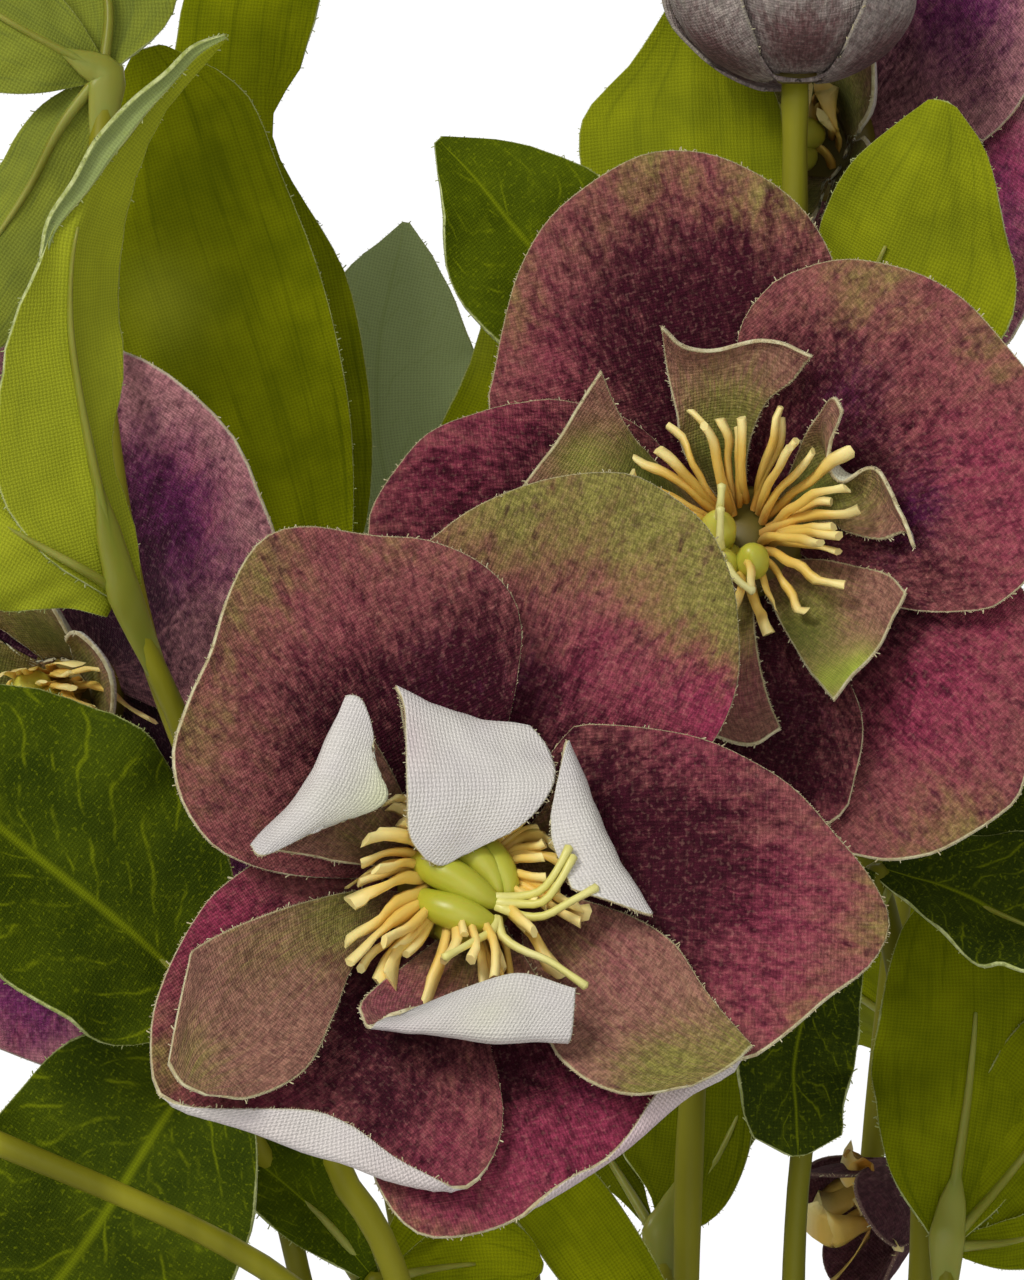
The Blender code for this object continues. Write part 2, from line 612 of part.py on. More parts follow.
def bloom_empty(name, frame):
    """Carries a bloom's petals at its place and in the way it faces."""
    empty = bpy.data.objects.new(name + "_axes", None)
    bpy.context.scene.collection.objects.link(empty)
    empty.matrix_world = frame
    return empty


def build():
    for old in list(bpy.data.objects):
        bpy.data.objects.remove(old)
    pot_plastic = material("pot_plastic", (0.022, 0.022, 0.024), 0.55)
    fill_grit = material("fill_grit", (0.060, 0.042, 0.030), 0.95)
    stem_plastic = material("stem_plastic", (0.200, 0.270, 0.060), 0.45)
    petal_cloth = material("petal_cloth", (0.180, 0.045, 0.090), 0.85)
    leaf_cloth = material("leaf_cloth", (0.080, 0.150, 0.025), 0.80)
    stamen_plastic = material("stamen_plastic", (0.640, 0.430, 0.110), 0.45)
    carpel_plastic = material("carpel_plastic", (0.520, 0.560, 0.080), 0.40)

    axes, paths = {}, {}
    for bloom, spec in BLOOMS.items():
        frame = bloom_frame(spec)
        axes[bloom] = bloom_empty(bloom, frame)
        paths[bloom] = flower_stem(bloom + "_stem", spec, frame, stem_plastic)

    for bloom, sepals, cup, inner in (
        ("front_bloom", FRONT_SEPALS, FRONT_CUP, FRONT_INNER),
        ("upper_bloom", UPPER_SEPALS, UPPER_CUP, UPPER_INNER),
    ):
        for name, spec in sepals.items():
            sepal(f"{bloom}_sepal_{name}", spec, cup, petal_cloth, axes[bloom])
        for name, spec in inner.items():
            inner_petal(f"{bloom}_inner_petal_{name}", spec, petal_cloth, axes[bloom])
    for bloom, spec in SEPAL_WHORLS.items():
        whorl(bloom + "_sepals", spec, petal_cloth, axes[bloom])
    for bloom, spec in INNER_WHORLS.items():
        whorl(bloom + "_inner_petals", spec, petal_cloth, axes[bloom])

    for bloom in BLOOMS:
        in_bud = bloom.endswith("_bud")
        count, reach = (8, BUD_STAMEN_REACH) if in_bud else (12, STAMEN_REACH)
        fingered_hub(
            bloom + "_stamens", count, COLLAR_RADIUS, STAMEN_HUB_BASE, STAMEN_HUB_TOP, reach,
            stamen_plastic, axes[bloom],
        )
        if not in_bud:
            fingered_hub(
                bloom + "_carpels", 5, CARPEL_HUB_RADIUS, CARPEL_HUB_BASE, CARPEL_HUB_TOP, CARPEL_REACH,
                carpel_plastic, axes[bloom],
            )

    for name, spec in LEAVES.items():
        paths[name] = petiole_path(spec, paths)
        leaf(name, spec, paths[name], leaf_cloth)

    pot(pot_plastic)
    feet = [spec["base"] for spec in (*BLOOMS.values(), *LEAVES.values()) if "base" in spec]
    pot_fill(feet, fill_grit)


build()
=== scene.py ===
"""Artificial hellebore in its pot: printed cloth blooms and leaves on moulded stems.

Lengths are in metres, and in millimetres where a name ends in _mm or _MM. A bloom is drawn in its own axes,
with X to its right, Y to its top and Z the way it faces. A petal's pattern is flat, from its claw outwards.
"""

import math

import bpy
import numpy as np
from mathutils import Matrix, Vector, noise


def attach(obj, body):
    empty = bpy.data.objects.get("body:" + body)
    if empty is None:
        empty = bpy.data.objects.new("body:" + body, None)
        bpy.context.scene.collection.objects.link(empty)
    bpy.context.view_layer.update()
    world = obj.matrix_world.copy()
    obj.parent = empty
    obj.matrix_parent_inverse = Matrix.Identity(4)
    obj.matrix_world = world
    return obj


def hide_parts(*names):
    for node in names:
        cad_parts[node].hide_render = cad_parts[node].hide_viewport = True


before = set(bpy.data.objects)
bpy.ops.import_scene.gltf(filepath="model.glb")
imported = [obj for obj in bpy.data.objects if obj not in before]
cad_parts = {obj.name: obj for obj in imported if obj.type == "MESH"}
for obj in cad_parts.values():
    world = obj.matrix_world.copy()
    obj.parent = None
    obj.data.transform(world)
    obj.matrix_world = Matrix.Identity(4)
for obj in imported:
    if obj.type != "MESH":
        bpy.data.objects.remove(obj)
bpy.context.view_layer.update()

MM = 0.001
UP = Vector((0, 0, 1))
BACK = Vector((0, 1, 0))

# Sizes shared with the moulded and cut parts
FILL_PROFILE = [(0, 0.098), (0.015, 0.0977), (0.03, 0.0965), (0.045, 0.093), (0.0535, 0.0902)]
STEM_FOOT_Z = 0.0603
STEM_FREE_Z = 0.106
STEM_RADIUS = 0.0014
PETIOLE_RADIUS = 0.0012
COLLAR_RADIUS = 0.0032
COLLAR_HALF_LENGTH = 0.005
BLOOM_NECK_LENGTH = 0.012
GAP = 0.0003
CLAW_MM = 3.7
LAYER_MM = 1.7
BASE_HALF_MM = 2.8
PETAL_CLOTH = 0.0004
LEAF_CLOTH = 0.00045

# Finer sizes: the cloth's hem, the band of finer rows at a sepal's rim, the distance between threads and the
# thread ends at a cut edge
HEM_MM = 0.3
RIM_BAND_MM = 3.0
PRINT_PITCH = 0.00033
LINEN_PITCH = 0.00041
LEAF_BACK_PITCH = 0.00036
FRAY_SPACING = 0.00022
SMALL_FRAY_SPACING = 0.0004
FRAY_LENGTH = 0.00026
FRAY_THICKNESS = 0.00004

# Columns and rows of the grids that the pieces of cloth are made from
SEPAL_GRID = (66, 45)
INNER_GRID = (34, 54)
SMALL_GRID = (40, 27)
SMALL_INNER_GRID = (28, 21)
LOBE_GRID = (20, 34)

# Stems, the spiral that the stamens stand in, the brackets behind the leaves, the grit and the floor
STEM_POINTS = 60
GOLDEN_ANGLE = 2.39996
BRACKET_RADII = (0.0012, 0.0016, 0.002, 0.0015, 0.0004)
GRIT_DENSITY = 200000.0
GRIT_SIZE = 0.0016
FLOOR_RADIUS = 2.6

# The photograph's view: the height that it shows at the distance of the blooms
SENSOR_MM = 24
VIEW_DISTANCE_MM = 850
VIEW_HEIGHT_MM = 128
CAMERA_PLACE = (-0.02, -0.895, 0.295)

# Each bloom: centre, turn to the right and tilt upwards of the way it faces, in degrees, its stem's place in
# the fill, and the points that the stem passes
BLOOMS = {
    "front_bloom": dict(
        centre=(-25.7, -45, 270), turn=12, tilt=18, base=(-10, -18),
        via=[(-16, -24, 170), (-31, -31, 228), (-38, -31, 243), (-34, -27, 259)],
    ),
    "upper_bloom": dict(
        centre=(4.3, -10, 304.9), turn=-5, tilt=15, base=(2, -4),
        via=[(-1, 3, 180), (-1.2, 6, 240), (3, 8, 285)],
    ),
    "left_bloom": dict(
        centre=(-65.2, 5, 289.7), turn=-35, tilt=-12, base=(-20, 4),
        via=[(-28, 8, 190), (-42, 14, 250), (-52, 19, 282)],
    ),
    "back_bloom": dict(
        centre=(16.2, 48, 349.5), turn=-38, tilt=4, base=(8, 21),
        via=[(16, 40, 200), (26, 64, 290), (29, 67, 330)],
    ),
    "open_bud": dict(
        centre=(10.3, 15, 354.4), turn=0, tilt=88, base=(12, 14),
        via=[(21, 17, 190), (24, 17, 235), (21, 17, 262), (12.5, 16, 290), (10.3, 15, 325)],
    ),
    "side_bud": dict(
        centre=(23, 34, 234.9), turn=-62, tilt=-28, base=(21, 7),
        via=[(29, 30, 180), (38, 41, 222), (37, 42, 238)],
    ),
}

# Bowls that the petals lie on: slope at the claw and at the rim in degrees, and the length between them
FRONT_CUP = dict(base_slope=34, rim_slope=9, reach_mm=40, spread=0)
UPPER_CUP = dict(base_slope=32, rim_slope=8, reach_mm=37, spread=0)
SMALL_CUPS = {
    "left_bloom": dict(base_slope=30, rim_slope=5, reach_mm=39, spread=0, first=33),
    "back_bloom": dict(base_slope=28, rim_slope=6, reach_mm=38, spread=0, first=50),
    "open_bud": dict(base_slope=14, rim_slope=118, reach_mm=22, spread=1, first=36, rise=1.3),
    "side_bud": dict(base_slope=60, rim_slope=96, reach_mm=23, spread=1, first=0),
}

# Sepals of the two large blooms. rim: the cut edge from left to right, as degrees from the middle and mm from
# the claw. rolls: where the margin turns over, as degrees and mm of cloth turned, then the radius in mm and
# the degrees of turn, forwards or (negative) backwards. creases: degrees, height and width. washes: brushed
# ink, as ink, mm across, mm along, size and strength
FRONT_SEPALS = {
    "upper_left": dict(
        azimuth=-31, layer=0,
        rim=[(-80, 5), (-64, 19), (-56, 27.5), (-43, 31.7), (-31, 32.2), (-19, 33.2), (-7, 36.2), (0, 37.4),
            (7, 36.2), (17, 33.4), (26, 32.2), (36, 30), (45, 26.3), (51, 19), (70, 6)],
        rolls=[([(-50, 0), (-41, 2), (-17, 2), (-8, 0)], 5, 18),
            ([(2, 0), (11, 1.6), (35, 1.6), (44, 0)], 6, -24)],
        creases=[(-22, 0.9, 3), (14, -0.8, 4), (38, 0.7, 3)],
        washes=[("plum", 3, 8, 13, 1), ("plum", 12, 16, 9, 0.7), ("plum", -5, 19, 7, 0.5),
            ("violet", 9, 14, 6, 0.8), ("olive", -5, 36, 7, 0.6), ("olive", -18, 25, 7, 0.45),
            ("olive", 12, 30, 6, 0.25), ("crimson", 2, 24, 7, 0.35)],
    ),
    "upper_right": dict(
        azimuth=24, layer=2,
        rim=[(-70, 6), (-45, 22), (-33, 31), (-27, 33.9), (-20, 36.7), (-11, 40), (-3, 42.6), (3, 43.8),
            (12, 42.9), (19, 40.5), (25, 37.6), (34, 33), (42, 27), (55, 17), (75, 6)],
        rolls=[([(-30, 0), (-21, 1.8), (31, 1.8), (40, 0)], 6, -20)], creases=[(4, -0.9, 5), (-20, 0.7, 4)],
        washes=[("olive", 4, 44, 10, 1), ("olive", 15, 36, 8, 1), ("olive", -10, 37, 9, 0.85),
            ("olive", 20, 28, 5, 0.5), ("crimson", 18, 23, 6, 1), ("crimson", 6, 22, 9, 0.6),
            ("plum", -1, 12, 12, 0.9), ("violet", -3, 18, 5, 0.7)],
    ),
    "right": dict(
        azimuth=95, layer=0,
        rim=[(-78, 6), (-61, 17.5), (-54, 19.9), (-37, 24.8), (-26, 28.7), (-16, 32.7), (-5, 36.6),
            (2, 39.5), (7, 40.8), (13, 39.7), (20, 37), (30, 34.5), (37, 32.5), (47, 25), (62, 14),
            (80, 5)],
        rolls=[([(-62, 0), (-53, 1.5), (-21, 1.5), (-12, 0)], 5, -22),
            ([(12, 0), (21, 2.5), (35, 2.5), (44, 0)], 5, 30)],
        creases=[(-30, 0.9, 3.5), (-8, -0.8, 3.5), (20, 0.8, 4)],
        washes=[("plum", -4, 11, 13, 1), ("plum", -2, 23, 8, 0.65), ("plum", 8, 18, 8, 0.5),
            ("crimson", 2, 27, 9, 0.7), ("crimson", -13, 21, 6, 0.6), ("crimson", 12, 27, 7, 0.4),
            ("olive", 4, 40, 5, 0.55), ("olive", 14, 33, 5, 0.35)],
    ),
    "bottom": dict(
        azimuth=165, layer=2,
        rim=[(-75, 6), (-50, 22), (-38, 32.5), (-25, 31.2), (-8, 31.8), (8, 34.6), (20, 37.8), (27, 38.6),
            (33, 36.4), (38, 32), (52, 20), (75, 6)],
        rolls=[
            (
                [(-45, 0), (-40, 1.5), (-36, 2.3), (-30, 3.1), (-24, 3.9), (-19, 3.7), (-11, 2.4),
                    (-4, 1.6), (2, 2.2), (8, 2), (12, 0)],
                0.8,
                150,
            ),
        ],
        creases=[(-20, 0.8, 4), (14, -0.7, 4)],
        washes=[("crimson", -4, 28, 12, 1), ("crimson", 12, 28, 9, 0.8), ("plum", 4, 14, 12, 0.9),
            ("olive", 18, 36, 6, 0.45), ("violet", -8, 20, 6, 0.4)],
    ),
    "lower_left": dict(
        azimuth=235, layer=1,
        rim=[(-72, 6), (-62, 18.5), (-58, 28), (-50, 34.3), (-40, 35), (-26, 35), (-13, 36.8), (-2, 40.4),
            (6, 38.2), (14, 34.1), (23, 29), (32, 24.4), (46, 17), (74, 5)],
        rolls=[
            (
                [(-54, 0), (-50, 0.9), (-44, 2.5), (-35, 3.8), (-26, 5.2), (-22, 5.5), (-19, 5.2),
                    (-15, 4.2), (-9, 2.8), (-3, 1.6), (0, 0)],
                0.8,
                150,
            ),
        ],
        creases=[(-30, 0.8, 3.5), (-6, -0.8, 4), (18, 0.7, 3.5)],
        washes=[("crimson", 8, 24, 8, 1), ("crimson", -20, 22, 9, 0.55), ("plum", -6, 15, 11, 0.85),
            ("plum", -14, 24, 7, 0.6), ("olive", 2, 38, 4, 0.5), ("crimson", -4, 31, 8, 0.6)],
    ),
}
UPPER_SEPALS = {
    "top": dict(
        azimuth=-14, layer=1,
        rim=[(-75, 8), (-62, 24), (-53, 28.8), (-45, 30.1), (-36, 32.2), (-28, 34.6), (-19, 37),
            (-11, 38.2), (-3, 39.2), (2, 39.3), (8, 38.5), (14, 36.8), (21, 34.5), (28, 31.6), (36, 27),
            (52, 18), (75, 6)],
        rolls=[([(-50, 0), (-41, 1.6), (21, 1.6), (30, 0)], 6, -18)], creases=[(-24, 0.8, 4), (6, -0.8, 5)],
        washes=[("plum", 2, 12, 15, 1), ("plum", -3, 24, 10, 0.8), ("plum", 9, 22, 8, 0.5),
            ("olive", 12, 33, 7, 0.6), ("olive", -2, 39, 7, 0.5), ("olive", -18, 27, 6, 0.35),
            ("crimson", -14, 20, 8, 0.5), ("crimson", 4, 30, 8, 0.3)],
    ),
    "upper_right": dict(
        azimuth=51, layer=0,
        rim=[(-75, 6), (-57, 19), (-48, 24.4), (-40, 26.8), (-32, 28.6), (-24, 29.6), (-15, 30.6),
            (-6, 31.2), (5, 31.4), (15, 32.2), (27, 33.4), (40, 33.2), (50, 31.4), (57, 29.4), (63, 26.5),
            (72, 18), (84, 5)],
        rolls=[([(-50, 0), (-41, 1.6), (11, 1.6), (20, 0)], 6, -22)],
        creases=[(-20, 0.9, 4), (18, -0.9, 5), (45, 0.8, 4)],
        washes=[("plum", 0, 6, 12, 1), ("plum", -10, 15, 6, 0.5), ("plum", 18, 10, 7, 0.5),
            ("violet", 10, 12, 5, 0.9), ("violet", -4, 15, 5, 0.7), ("crimson", 10, 21, 9, 0.6),
            ("olive", -12, 25, 6, 0.5), ("olive", 2, 31, 5, 0.4), ("crimson", 22, 20, 7, 0.5)],
    ),
    "lower_right": dict(
        azimuth=134, layer=2,
        rim=[(-75, 6), (-50, 20), (-34, 28), (-26, 30.8), (-13, 35.2), (0, 39.6), (5, 40.2), (12, 39.8),
            (19, 39), (26, 37.2), (36, 32), (52, 19), (75, 6)],
        rolls=[([(-20, 0), (-11, 2), (21, 2), (30, 0)], 6, 20)], creases=[(-8, 0.9, 4), (16, -0.9, 4)],
        washes=[("plum", 0, 9, 13, 1), ("crimson", 0, 25, 10, 0.8), ("plum", 12, 20, 7, 0.6),
            ("crimson", -12, 24, 7, 0.5), ("olive", 8, 38, 6, 0.5), ("violet", -10, 14, 6, 0.6)],
    ),
    "bottom": dict(
        azimuth=196, layer=1,
        rim=[(-75, 6), (-52, 22), (-40, 30.5), (-34, 33), (-20, 34.5), (0, 36), (16, 34), (30, 29),
            (46, 20), (75, 6)],
        rolls=[([(-40, 0), (-31, 1.5), (21, 1.5), (30, 0)], 6, 14)], creases=[(-10, 0.8, 4)],
        washes=[("plum", 0, 10, 16, 1), ("plum", -12, 22, 9, 0.8), ("crimson", -14, 28, 7, 0.5),
            ("violet", -10, 16, 6, 0.5)],
    ),
    "left": dict(
        azimuth=263, layer=0,
        rim=[(-75, 6), (-50, 21), (-36, 29), (-18, 34), (-4, 37), (5, 36.9), (9, 36.4), (15, 34.7),
            (23, 32.3), (31, 28.3), (37, 25.5), (45, 21.9), (58, 15), (78, 6)],
        rolls=[([(-10, 0), (-1, 1.6), (35, 1.6), (44, 0)], 5, -20)],
        creases=[(20, 0.8, 3.5), (-6, -0.7, 4)],
        washes=[("plum", 0, 12, 14, 1), ("crimson", 6, 27, 9, 0.75), ("plum", -2, 25, 12, 0.75),
            ("crimson", 14, 20, 6, 0.5)],
    ),
}

# Inner petals as stations from claw to tip, each with points from left to right in mm in the bloom's
# axes. Four of the front bloom's are folded over, so their backs show
FRONT_INNER = {
    "top": dict(
        stations=[
            [(-1.6, 1.8, 1.1), (-0.1, 2.2, 1), (1.4, 1.8, 1)],
            [(-4.8, 8.4, 6.7), (0.5, 7.8, 5.1), (4.9, 6.6, 5.8)],
            [(-6.7, 15.9, 11.1), (-0.4, 14.5, 9.3), (6.8, 11.9, 9.4)],
            [(-7.5, 17.2, 13.2), (-1.1, 14.8, 11.4), (6, 13.6, 11.4)],
            [(-6.9, 14.3, 13.9), (-1, 12.7, 12.9), (7.9, 10.7, 12.1)],
            [(-7.1, 6.3, 13.6), (0, 6.7, 13), (7.8, 6.9, 13.1)],
            [(-6.9, 2, 12.7), (-1.2, 2.6, 12), (4.5, 3.1, 12.2)],
            [(-5.4, -0.3, 11.8), (-3.6, -0.8, 11.4), (-1, 0.4, 11.4)],
        ],
        washes=[("olive", 0, 8, 6, 0.5), ("crimson", -7, 22, 3, 0.4)],
    ),
    "upper_right": dict(
        stations=[
            [(4.2, 2.1, 2.7), (4.6, 1.4, 2.8), (5.1, 0.8, 2.9)],
            [(8.3, 6.8, 8.3), (10.4, 2, 7.2), (11.3, -2.1, 8.7)],
            [(9.7, 10.9, 11.3), (13.1, 2.7, 9.7), (15.8, -4.4, 11.2)],
            [(9.7, 11.7, 12.6), (13.4, 1.8, 11.3), (16.9, -6.4, 12.9)],
            [(9.1, 10.6, 13.5), (12.1, 1.6, 12.6), (15.6, -6.3, 13.4)],
            [(8.4, 7.9, 13.3), (9.8, 1.3, 12.8), (12.8, -5.3, 13.5)],
            [(7.5, 3.9, 12.4), (7.6, 1.1, 12.2), (9, -3.8, 12.8)],
        ],
        washes=[("olive", 0, 6, 6, 0.6)],
    ),
    "right": dict(
        stations=[
            [(7, -1.4, 4), (6.5, -2.5, 3.9), (5.6, -3.7, 3.8)],
            [(13.1, -4.1, 8.1), (9.9, -8.4, 7.3), (5.3, -12.1, 7.8)],
            [(18.8, -8.3, 11.2), (14.2, -14.5, 10.4), (6.9, -20.7, 11.9)],
            [(21.7, -14.3, 13.2), (18.8, -19.4, 13.3), (12.4, -25, 14)],
            [(25.4, -20.9, 15.6), (23.2, -22.7, 15.7), (19.2, -24.6, 15.1)],
        ],
        washes=[("olive", 4, 25, 6, 0.9), ("olive", -3, 30, 6, 0.7), ("plum", 0, 4, 6, 0.6),
            ("crimson", -2, 12, 7, 0.4), ("olive", 0, 6, 5, 0.5)],
    ),
    "bottom": dict(
        stations=[
            [(3.4, -3.4, 2.8), (2.2, -4.1, 2.6), (1.2, -3.1, 1.8)],
            [(5.4, -10, 7.7), (-0.5, -10.7, 6.8), (-7.3, -10.1, 8.2)],
            [(7.6, -17.4, 12.3), (-2.7, -16.1, 10.1), (-12.4, -14.5, 11.4)],
            [(7.3, -19.5, 14.1), (-2.3, -19, 13.4), (-12.7, -17.1, 12.8)],
            [(7.5, -18.8, 15.3), (-1.5, -18.9, 15.3), (-12.3, -17.8, 13.9)],
            [(7.8, -16.6, 15.6), (0.5, -15.9, 15.5), (-11, -17.2, 14.4)],
            [(8.1, -14.7, 15.3), (1.8, -13, 14.5), (-9.3, -16.8, 14.9)],
        ],
        washes=[("crimson", 8, 14, 7, 0.7), ("olive", 0, 6, 5, 0.6), ("olive", 0, 24, 3, 0.3)],
    ),
    "left": dict(
        stations=[
            [(-6.1, -3.7, 4), (-6.3, -2.6, 3.8), (-6.4, -1.3, 3.6)],
            [(-12.4, -10, 9.1), (-12.4, -5.8, 7.7), (-11.4, -2, 6.9)],
            [(-15.3, -15.8, 12), (-19.4, -10.8, 11.2), (-20.7, -5.5, 11.7)],
            [(-19.1, -22.3, 14.4), (-25.7, -17.2, 14.3), (-28.6, -9.6, 14.7)],
            [(-25, -25.4, 16), (-29.6, -20.6, 15.7), (-30.4, -12.3, 15.5)],
            [(-29.5, -25.4, 16.9), (-31.8, -24.4, 17.1), (-33, -22.3, 17)],
        ],
        washes=[("olive", 2, 9, 7, 0.9), ("olive", 4, 20, 6, 0.35), ("plum", -4, 12, 5, 0.4),
            ("olive", 0, 34, 5, 0.5)],
    ),
    "upper_left": dict(
        stations=[
            [(-6.5, 1.2, 3.9), (-6, 2.3, 3.7), (-5.3, 3.6, 3.7)],
            [(-12.8, 0.3, 8.9), (-9.7, 3.3, 6.5), (-6.3, 7.7, 7.4)],
            [(-22, 0.3, 14.1), (-16.2, 7.3, 11.8), (-11.5, 14.7, 12.7)],
            [(-23.2, -0.2, 15.5), (-17.3, 6.4, 13.6), (-12.6, 15.7, 14.3)],
            [(-22.5, -1.2, 16.2), (-15.9, 6, 14.9), (-11.3, 15.2, 14.8)],
            [(-18.8, 0.6, 15.3), (-12.8, 5.3, 14.4), (-10.4, 12.2, 14.5)],
            [(-16.5, 1.9, 14.8), (-9.4, 5, 13.8), (-10.4, 9, 14.4)],
        ],
        washes=[("olive", 0, 5, 6, 0.5), ("olive", 0, 27, 5, 1), ("plum", 0, 12, 6, 0.3)],
    ),
}
UPPER_INNER = {
    "top": dict(
        stations=[
            [(-2.4, 4, 2.1), (-1.8, 4, 1.9), (-1, 4, 1.8), (-0.4, 4, 1.7), (0.2, 4, 1.7)],
            [(-6, 8.1, 5.6), (-4.6, 8.8, 5.1), (-2.9, 9.3, 5), (-1.3, 9.3, 4.9), (0.4, 8.7, 4.9)],
            [(-7, 12.3, 8.1), (-4.9, 13.3, 7.6), (-2.6, 13.7, 7.5), (-0.1, 13.8, 7.5), (2.3, 13, 7.6)],
            [(-7.7, 15.7, 10.2), (-5.5, 16, 9.4), (-2.6, 16.5, 9.1), (1.3, 17, 9.4), (5.1, 14.9, 9.3)],
            [(-8, 17.9, 12.8), (-6.1, 17.1, 11.3), (-2.7, 17.6, 10.4), (2.4, 18.6, 10.9),
                (6.6, 16.4, 10.7)],
            [(-8.1, 19, 15.2), (-5.9, 17.7, 13), (-2.5, 17.8, 11.4), (3.1, 18.7, 11.6), (7.3, 16.9, 11.8)],
        ],
        washes=[("olive", 1, 8, 7, 1), ("green", 1, 4, 5, 0.8)],
    ),
    "upper_right": dict(
        stations=[
            [(2.8, 2.4, 1.2), (3.2, 1.8, 1.2), (3.7, 1.2, 1.3), (4.1, 0.7, 1.5), (4.5, 0, 1.7)],
            [(5.5, 8, 5.8), (6.5, 6.3, 4.9), (7.4, 4.4, 4.5), (8.2, 2.7, 4.6), (8.8, 1.1, 5)],
            [(6.8, 9.9, 8.6), (8.2, 8.1, 6.6), (9.2, 5.3, 5.9), (10.1, 2.3, 5.8), (10.8, -0.4, 6.4)],
            [(8.4, 11.2, 11.5), (8.7, 8.6, 7.7), (10.3, 5.2, 7), (12.4, 2.3, 7.3), (14.4, -1.9, 8.8)],
            [(9.8, 11.7, 14.5), (9, 8.2, 10.7), (10.4, 5.6, 8.5), (14, 3.3, 9.1), (17.2, -1.7, 10.9)],
            [(10.7, 10.2, 14.7), (9.1, 6.2, 11.1), (10.4, 4, 9.6), (14.3, 4.8, 11.4), (18.1, -3.8, 12.4)],
        ],
        washes=[("olive", 0, 8, 6, 1), ("green", 0, 5, 4, 0.8), ("olive", 4, 16, 4, 0.4)],
    ),
    "lower_right": dict(
        stations=[
            [(3.9, -2.1, 1.7), (3.3, -2.7, 1.6), (2.7, -3.2, 1.5), (2.1, -3.7, 1.5), (1.5, -4, 1.5)],
            [(8, -2.9, 4.6), (7.2, -4.8, 4.5), (6.2, -6.6, 4.7), (5, -8, 5.1), (3.8, -9.2, 5.8)],
            [(11.9, -4.3, 7.1), (10.9, -7, 7), (9.7, -9.7, 7.4), (8.1, -12.5, 8.3), (6.6, -14.9, 9.5)],
            [(15.3, -5.8, 9.4), (14.1, -8.6, 9), (12.7, -12, 9.6), (10.8, -15.5, 10.7), (8.8, -18.5, 12.6)],
            [(17.1, -8.2, 11.2), (16.1, -10.6, 10.7), (14.5, -14.2, 11.5), (11.9, -17.7, 13.5),
                (10.2, -20.7, 15.5)],
        ],
        washes=[("olive", 2, 8, 6, 0.9), ("green", 4, 10, 4, 0.6), ("lime", 4, 19, 3.5, 1),
            ("lime", 7, 16, 3, 0.8)],
    ),
    "bottom": dict(
        stations=[
            [(0.9, -4.5, 2.5), (-0.1, -4.7, 2.6), (-1.2, -4.5, 2.6)],
            [(1.7, -12.3, 7.8), (-0.4, -12.8, 7.5), (-2.8, -12.4, 7.9)],
            [(3.2, -19, 11.2), (-0.1, -19.5, 10.8), (-3.2, -18.5, 11)],
            [(4.8, -23.5, 14.3), (1.7, -25.3, 14.8), (-3.5, -23.3, 13.2)],
        ],
        washes=[("olive", 0, 6, 6, 0.8), ("crimson", 0, 16, 6, 0.5)],
    ),
    "lower_left": dict(
        stations=[
            [(-2.4, -4, 2.6), (-2.9, -2.9, 2.2), (-3.1, -1.7, 1.9)],
            [(-6.2, -10.1, 7.5), (-7.5, -7.2, 6.3), (-8.4, -4.5, 6.3)],
            [(-9.9, -15.4, 11.4), (-12, -10.9, 9.5), (-13.1, -6.9, 9.4)],
            [(-12.5, -17.3, 14.5), (-14.4, -13.7, 12.9), (-15.2, -7.8, 10.9)],
        ],
        washes=[("olive", 0, 6, 6, 0.8)],
    ),
    "upper_left": dict(
        stations=[
            [(-3.4, 0, 1.8), (-3.2, 1.1, 1.8), (-2.8, 2.2, 1.9)],
            [(-11.5, -1.5, 7.4), (-8.6, 4.3, 5.9), (-9.4, 7.3, 7.5)],
            [(-18.5, -0.4, 10.9), (-14.6, 7.4, 10), (-12.3, 10.5, 10.5)],
            [(-22.3, 2.4, 13.3), (-18.3, 8.5, 13), (-14.4, 14.7, 14.2)],
        ],
        washes=[("olive", 0, 9, 7, 1), ("green", 0, 9, 4, 0.8), ("lime", -2, 17, 3, 0.5)],
    ),
}

# Sepals of the small blooms and buds: azimuth and layer of each, the rim they share, as degrees and a share
# of the reach, and each one's share of its bowl's reach
SMALL_RING = [(0, 0), (72, 1), (144, 0), (216, 1), (288, 2)]
SMALL_RIM = [(-80, 0.13), (-58, 0.52), (-46, 0.76), (-34, 0.9), (-20, 0.97), (-6, 1), (8, 0.99), (21, 0.96),
    (34, 0.89), (46, 0.76), (58, 0.52), (80, 0.13)]
BUD_RIM = [(-80, 0.13), (-50, 0.42), (-36, 0.66), (-25, 0.83), (-14, 0.95), (-4, 1), (5, 1), (15, 0.94),
    (25, 0.83), (36, 0.66), (50, 0.42), (80, 0.13)]
SMALL_REACHES = {
    "left_bloom": [1.08, 0.97, 0.95, 1, 0.96],
    "back_bloom": [1, 0.95, 0.3, 0.3, 0.5],
    "open_bud": [1, 0.97, 1, 0.95, 0.98],
    "side_bud": [0.5, 0.5, 0.48, 0.5, 0.46],
}
SMALL_WASHES = {
    "left_bloom": [("plum", 0, 12, 15, 1), ("plum", -4, 24, 8, 0.7), ("violet", 4, 27, 9, 1),
        ("crimson", 6, 30, 9, 0.6)],
    "back_bloom": [("plum", 0, 10, 8, 0.6), ("violet", 4, 24, 12, 0.9), ("crimson", -8, 26, 10, 0.9)],
    "open_bud": [("plum", 0, 6, 6, 0.9), ("olive", 0, 24, 10, 0.6)],
    "side_bud": [("plum", 0, 10, 9, 0.9), ("crimson", 3, 18, 8, 0.7)],
}
SMALL_INNER_WASHES = [("olive", 0, 6, 8, 0.9), ("green", 0, 5, 4, 0.6)]

